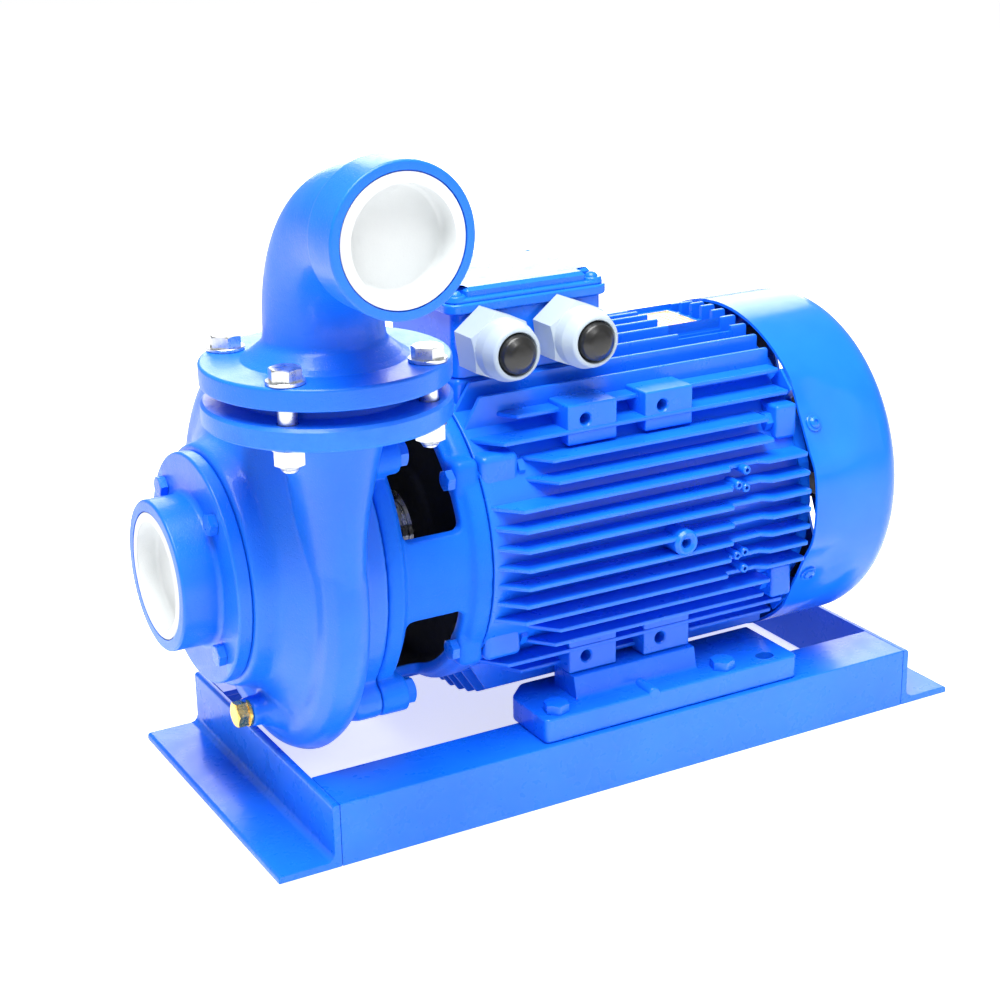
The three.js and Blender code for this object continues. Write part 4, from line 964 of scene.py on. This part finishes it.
def side_fin(step, side):
    """A flat rib along one side of the housing, its front end swept back, its crest dipped at the rear."""
    level = step * PITCH
    root = sqrt((HOUSING_R - 2) ** 2 - level ** 2)
    tip = sqrt(FIN_TIP ** 2 - level ** 2) - (3 if abs(step) > 5 else 0)
    start = {4: 97, 5: 97, 7: 84}.get(abs(step), HOUSING_FROM + 1)
    end = 291 if abs(step) in (4, 5) else HOUSING_TO - 1
    plan = [(start, root), (start + 17, tip, 2)]
    if abs(step) <= 3:
        plan += [(249, tip, 0.8), (250.5, tip - 5.5, 0.8), (276, tip - 5.5, 3), (283, tip, 3)]
    plan += [(end, tip, 2), (end, root)]
    outline = [(p[0], side * p[1]) for p in eased(plan, 3)]
    fin = slab("side_fin", outline, "XY", SHAFT + level - FIN_HALF, SHAFT + level + FIN_HALF)
    return softened(fin, 0.9, 2)


def upright_fin(step, side):
    """A rib on the top or the bottom of the housing."""
    offset = step * PITCH
    root = sqrt((HOUSING_R - 2) ** 2 - offset ** 2)
    tip = sqrt(FIN_TIP ** 2 - offset ** 2)
    start = 189 if side > 0 and abs(offset) < 52 else HOUSING_FROM + 1
    plan = [(start, root), (start + 13, tip, 2), (HOUSING_TO - 1, tip, 2), (HOUSING_TO - 1, root)]
    outline = [(p[0], SHAFT + side * p[1]) for p in eased(plan, 3)]
    fin = slab("upright_fin", outline, "XZ", offset - FIN_HALF, offset + FIN_HALF)
    return softened(fin, 0.9, 2)


def make_housing():
    barrel_profile = eased([
        (HOUSING_FROM, HOUSING_BORE), (HOUSING_FROM, HOUSING_R, 1), (HOUSING_TO, HOUSING_R, 1),
        (HOUSING_TO, HOUSING_BORE),
    ], 3)
    barrel = ring("motor_housing", barrel_profile, steps=128)
    parts = []
    for step in range(-7, 8):
        parts += [side_fin(step, -1), side_fin(step, 1)]
    for step in range(-5, 6):
        parts += [upright_fin(step, 1), upright_fin(step, -1)]
    for side, level in QUADRANTS:
        for start in PADS:
            pad = quarter_block("pad", side, level, (start, start + 39), (45, PAD_FACE), (69.5, 97.5))
            softened(pad, 1.4, 3)
            face = side * PAD_FACE
            spot = (start + 14, 0, SHAFT + level * 86.5)
            hole = rod("pad_hole", "Y", face - side * 22, face + side * 4, spot, 4.2, 32)
            sink = turned("pad_sink", [
                (face - side, 0), (face - side, 4.2), (face + side * 0.6, 5.8), (face + side * 0.6, 0),
            ], centre=spot, axis="Y", steps=32)
            parts.append(carved(pad, hole, sink))
        front_ear = quarter_block("front_ear", side, level, (66, 95), (74, 94), (47, 73))
        softened(front_ear, 5, 4)
        ear_centre = (0, side * 87, SHAFT + level * 60)
        carved(front_ear, rod("ear_bore", "X", 60, 100, ear_centre, 4.6, 24))
        rear_ear = quarter_block("rear_ear", side, level, (300, 318), (74, 102), (48, 73))
        softened(rear_ear, 2.5, 4)
        screw = hexagon("rear_screw", "X", 300.5, 294, (0, side * 92, SHAFT + level * 60.5), 12)
        tail = hexagon("front_ear_nut", "X", 94.5, 99.5, ear_centre, 13)
        parts += [tail, front_ear, rear_ear, screw]
    eye = ring("earth_eye", [
        (-100, 3.4), (-100, 9.5), (-125, 9.3), (-127, 7.8), (-127, 6.2), (-125.4, 3.8)],
               centre=(208, 0, 173), axis="Y", steps=40)
    parts.append(eye)
    for x, z in ((263, 214), (256.5, 204), (263, 201), (263, 153), (256.5, 151.6), (263, 140.6)):
        parts.append(ring("small_tube", [(-98, 1.5), (-98, 3.2), (-118.2, 3.2), (-119, 2.6), (-119, 1.5)],
                          centre=(x, 0, z), axis="Y", steps=20))
    pedestal = block("pedestal", (72, -50, 262), (188, 50, 292))
    parts.append(softened(pedestal, 4, 4))
    skirt = slab("pedestal_skirt", [(-58, 262), (-50, 281), (50, 281), (58, 262)], "YZ", 74, 186)
    parts.append(softened(skirt, 2, 3))
    pocket = block("nameplate_seat", (258, -26, 280), (304, 39, PLATE_SEAT))
    parts.append(softened(pocket, 0.8, 2))
    joined(barrel, *parts)
    clearing = block("nameplate_room", (257, -27, PLATE_SEAT + 0.02), (305, 40, 320))
    front_steps = slab("front_steps", [(-27, 290), (-62, 294), (-62, 320), (-27, 320)], "YZ", 257, 303)
    carved(barrel, clearing, front_steps)
    smoothed(barrel, 32)
    fitted(barrel, housing_blue, "blue_paint", "stator_housing")


def make_nameplate():
    outline = eased([(264, -20, 2), (298, -20, 2), (298, 33, 2), (264, 33, 2)], 4)
    plate = slab("motor_nameplate", outline, "XY", 291.8, 292.8)
    softened(plate, 0.25, 1)
    pick_faces(plate, lambda centre, normal: normal.z > 0.9)
    bpy.ops.mesh.inset(thickness=1.6 * MM, depth=0)
    bpy.ops.mesh.inset(thickness=0.4 * MM, depth=-0.25 * MM)
    leave()
    rows = []
    for number in range(6):
        x = 269 + number * 4.6
        rows.append(block("field", (x, -14, 292.4), (x + 2.6, 27 - 6 * (number % 3), 292.75)))
    rivets = [turned("rivet", [(292.4, 0), (292.4, 1.5), (293.2, 1.1), (293.5, 0)], centre=(x, y, 0),
                     axis="Z", steps=16) for x in (266.4, 295.6) for y in (-17.6, 30.6)]
    joined(plate, *rows, *rivets)
    smoothed(plate, 30)
    fitted(plate, gold_plate, "brass", "nameplate")


# ---- Fan cowl ----------------------------------------------------
COWL_FROM, COWL_TO, COWL_R, WALL = 320.3, 402, 126, 2.2
COWL_SCREW_X, COWL_SCREW_ANGLE = 329.5, 28.4
SLOTS = 16


def make_cowl():
    skirt = [(COWL_FROM + 4.4 * step, COWL_R) for step in range(13)]
    outer = eased(skirt + [(COWL_TO, COWL_R, 20), (COWL_TO, 0)], 12)
    lining = [(place, COWL_R - WALL) for place, radius in reversed(skirt)]
    inner = eased([(COWL_TO - WALL, 0), (COWL_TO - WALL, COWL_R - WALL, 18)] + lining, 12)
    cowl = ring("pressed_fan_cowl", outer + inner, steps=144)
    lean = radians(COWL_SCREW_ANGLE)
    tilts = [Vector((0, side * cos(lean), level * sin(lean))) for side, level in QUADRANTS]
    for tilt in tilts:
        spot = at(COWL_SCREW_X, 0, SHAFT) + tilt * COWL_R * MM
        pick_faces(cowl, lambda centre, normal: (centre - spot).length < 0.012)
        bpy.ops.transform.translate(
            value=-tilt * 5 * MM, use_proportional_edit=True, proportional_edit_falloff="SMOOTH",
            proportional_size=0.026)
        leave()
    first = block("slot", (COWL_TO - 8, 36, SHAFT - 4.5), (COWL_TO + 6, 86, SHAFT + 4.5))
    softened(first, 3.6, 4, 80)
    tools = []
    for number in range(SLOTS):
        tool = copied(first, f"slot_{number}")
        edit()
        select_all()
        bpy.ops.transform.rotate(
            value=number * 2 * pi / SLOTS, orient_axis="X", center_override=at(0, 0, SHAFT))
        leave()
        tools.append(tool)
    bpy.data.objects.remove(first)
    comb = joined(tools[0], *tools[1:])
    carved(cowl, comb)
    dent_r = COWL_R - 4.8
    screws = [cowl_screw((COWL_SCREW_X, tilt.y * dent_r, SHAFT + tilt.z * dent_r), tilt) for tilt in tilts]
    joined(cowl, *screws)
    smoothed(cowl, 34)
    fitted(cowl, cowl_blue, "blue_paint", "fan_cowl")


def cowl_screw(place, tilt):
    """A pan head screw on its washer, standing along tilt."""
    screw = turned("cowl_screw", [
        (-1, 0), (-1, 6.4), (0.9, 6.4), (1.3, 6), (1.3, 4.4), (2.4, 4.2), (3.3, 3.2), (3.7, 1.8),
        (2.4, 1.4), (2.4, 0),
    ], centre=(0, 0, 0), axis="Z", steps=32)
    turn = Vector((0, 0, 1)).rotation_difference(tilt).to_matrix().to_4x4()
    screw.data.transform(Matrix.Translation(at(*place)) @ turn @ Matrix.Translation(-at(0, 0, 0)))
    return screw


# ---- Terminal box, lid, glands -----------------------------------
GLANDS = [(92, 0, 317.5), (152, 0, 317.5)]


def rounded_block(name, low, high, radius, edge=1.0):
    """A box with round upright corners and eased edges."""
    outline = eased([(low[0], low[1], radius), (high[0], low[1], radius), (high[0], high[1], radius),
                     (low[0], high[1], radius)], 6)
    piece = slab(name, outline, "XY", low[2], high[2])
    return softened(piece, edge, 3, 50)


def make_terminal_box():
    box = rounded_block("terminal_box_casting", (72, -50, 292.3), (188, 50, 336), 8, 1.0)
    room = rounded_block("room", (76, -46, 296.5), (184, 46, 340), 5, 0.5)
    carved(box, room)
    for spot in GLANDS:
        seat = turned("gland_seat", [(-50.8, 0), (-50.8, 19.5), (-48, 19.5), (-48, 0)],
                      centre=spot, axis="Y", steps=48)
        joined(box, softened(seat, 0.4, 2))
    smoothed(box, 34)
    fitted(box, smooth_blue, "blue_paint", "terminal_box")
    lid = rounded_block("terminal_lid_casting", (67, -53, 336.3), (192, 53, 343.2), 10, 1.5)
    step = rounded_block("lid_step", (69.5, -50.5, 342.5), (189.5, 50.5, 346), 8.5, 1.4)
    low_x, high_x, half, notch = 73, 186, 46.5, 10
    panel_plan = eased([
        (low_x, -half + notch, 2), (low_x + notch, -half + notch, 3), (low_x + notch, -half, 2),
        (high_x - notch, -half, 2), (high_x - notch, -half + notch, 3), (high_x, -half + notch, 2),
        (high_x, half - notch, 2), (high_x - notch, half - notch, 3), (high_x - notch, half, 2),
        (low_x + notch, half, 2), (low_x + notch, half - notch, 3), (low_x, half - notch, 2)], 4)
    panel = slab("lid_panel", panel_plan, "XY", 345, 350)
    pick_faces(panel, lambda centre, normal: normal.z > 0.9)
    bpy.ops.mesh.inset(thickness=2.4 * MM, depth=2.4 * MM)
    leave()
    softened(panel, 0.6, 2, 20)
    pads = []
    for x in (76.5, 182.5):
        for y in (-43, 43):
            pads.append(turned("lid_screw_pad", [
                (344, 0), (344, 7.6), (347, 7), (347.8, 6.2), (347.8, 4.4), (348.8, 4.2), (350.2, 3),
                (350.7, 1.6), (349.6, 1.2), (349.6, 0)], centre=(x, y, 0), axis="Z", steps=36))
    joined(lid, step, panel, *pads)
    smoothed(lid, 34)
    fitted(lid, smooth_blue, "blue_paint", "terminal_lid")


def make_glands():
    first = GLANDS[0]
    flange = hexagon("gland_body", "Y", -53.5, -79, first, 42, turn=8)
    softened(flange, 0.8, 2, 40)
    shoulder = turned("gland_shoulder", [(-50.9, 0), (-50.9, 19), (-54, 19), (-54, 0)],
                      centre=first, axis="Y")
    dome = ring("gland_dome", eased([
        (-76, 0), (-76, 20.8), (-88, 20.6, 4), (-98.2, 17.4, 3), (-99, 14.6, 0.8), (-95, 13.7), (-86, 13.7),
        (-86, 0)], 6), centre=first, axis="Y", steps=72)
    thread = rod("gland_thread", "Y", -51, -42, first, 15.4, 40)
    joined(flange, shoulder, dome, thread)
    smoothed(flange, 32)
    cap = ring("gland_cap", eased([
        (-80, 0), (-80, 13.4), (-98.2, 13.4, 1), (-101.5, 12.2, 3), (-105, 7.6, 6), (-106.3, 0)], 6),
        centre=first, axis="Y", steps=64)
    smoothed(cap, 60)
    spread_out(flange, "cable_gland_grey", "cable_gland", GLANDS, grey_plastic, "grey_plastic")
    spread_out(cap, "gland_plug_black", "gland_plug", GLANDS, black_rubber, "black_rubber")


# ---- Pieces inside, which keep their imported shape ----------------
def finish_inner_pieces():
    for node, finish in {
        "discharge_gasket": gasket_sheet, "impeller": bronze, "impeller_nut": brass, "seal_head": carbon,
        "seal_seat": steel, "shaft": steel, "rotor_core": laminations, "front_bearing": steel,
        "rear_bearing": steel, "stator_core": laminations, "stator_winding": copper,
        "fan_end_shield": housing_blue, "cooling_fan": fan_plastic, "terminal_board": board_plastic,
    }.items():
        piece = frame["nodes"][node]
        piece.data.materials.clear()
        piece.data.materials.append(finish)


# ---- Room, light and camera --------------------------------------
ROOM_LIGHT = 0.36
FLOOR_GLOW = 0.30
FLOOR_GLOW_SEEN = 0.66


def make_room():
    floor_finish, tree, shader, place = fresh("pale_floor", 0.8)
    clouds = noise(tree, 2.5)
    tone = blend(tree)
    tone.inputs["A"].default_value = (0.86, 0.86, 0.87, 1)
    tone.inputs["B"].default_value = (0.90, 0.90, 0.90, 1)
    tree.links.new(place, clouds.inputs["Vector"])
    wire(tree, (clouds, "Fac", tone, "Factor"), (tone, "Result", shader, "Base Color"))
    shader.inputs["Emission Color"].default_value = (1, 1, 1, 1)
    glow_seen = tree.nodes.new("ShaderNodeLightPath")
    glow = spread(tree, 0, 1, FLOOR_GLOW, FLOOR_GLOW_SEEN)
    wire(tree, (glow_seen, "Is Camera Ray", glow, "Value"),
         (glow, "Result", shader, "Emission Strength"))
    select_none()
    bpy.ops.mesh.primitive_plane_add(size=30, location=(0, 0, -0.0005))
    floor = named("pale_floor")
    floor.data.materials.append(floor_finish)
    world = bpy.data.worlds.new("white_studio")
    bpy.context.scene.world = world
    world.use_nodes = True
    sky = world.node_tree.nodes["Background"]
    sky.inputs["Color"].default_value = (1, 1, 1, 1)
    seen = world.node_tree.nodes.new("ShaderNodeLightPath")
    level = spread(world.node_tree, 0, 1, ROOM_LIGHT, 1.0)
    world.node_tree.links.new(seen.outputs["Is Camera Ray"], level.inputs["Value"])
    world.node_tree.links.new(level.outputs["Result"], sky.inputs["Strength"])


def soft_light(name, place, target, size, power):
    bpy.ops.object.light_add(type="AREA", location=place)
    lamp = bpy.context.object
    lamp.name = name
    lamp.data.energy = power
    lamp.data.size = size
    lamp.visible_camera = False
    lamp.rotation_euler = (Vector(target) - Vector(place)).to_track_quat("-Z", "Y").to_euler()


def make_camera():
    yaw, dip, lean = radians(29.136), radians(19.188), radians(-1.036)
    forward = Vector((sin(yaw) * cos(dip), cos(yaw) * cos(dip), -sin(dip)))
    level = Vector((cos(yaw), -sin(yaw), 0))
    rise = level.cross(forward)
    right = level * cos(lean) + rise * sin(lean)
    top = rise * cos(lean) - level * sin(lean)
    data = bpy.data.cameras.new("camera")
    data.lens = 69.54
    data.sensor_width = 36
    camera = bpy.data.objects.new("camera", data)
    bpy.context.scene.collection.objects.link(camera)
    spot = at(-508.79, -1148.96, 639.35)
    camera.matrix_world = Matrix((
        (right.x, top.x, -forward.x, spot.x), (right.y, top.y, -forward.y, spot.y),
        (right.z, top.z, -forward.z, spot.z), (0, 0, 0, 1)))
    bpy.context.scene.camera = camera


make_base()
make_feet()
make_foot_bolts()
make_casing()
make_drain_plug()
make_suction_cover()
make_port_plugs()
make_elbow()
make_flange_bolts()
make_bracket()
make_bracket_screws()
make_housing()
make_nameplate()
make_cowl()
make_terminal_box()
make_glands()
finish_inner_pieces()
make_room()
soft_light("overhead_softbox", (-0.4, -0.5, 2.2), (0, 0, 0.2), 1.6, 105)
soft_light("front_softbox", (1.2, -2.2, 1.2), (0, 0, 0.2), 1.6, 5)
soft_light("rear_softbox", (1.5, 2.7, 1.5), (0, 0, 0.2), 2.2, 60)
make_camera()
bpy.context.scene.view_settings.view_transform = "Standard"
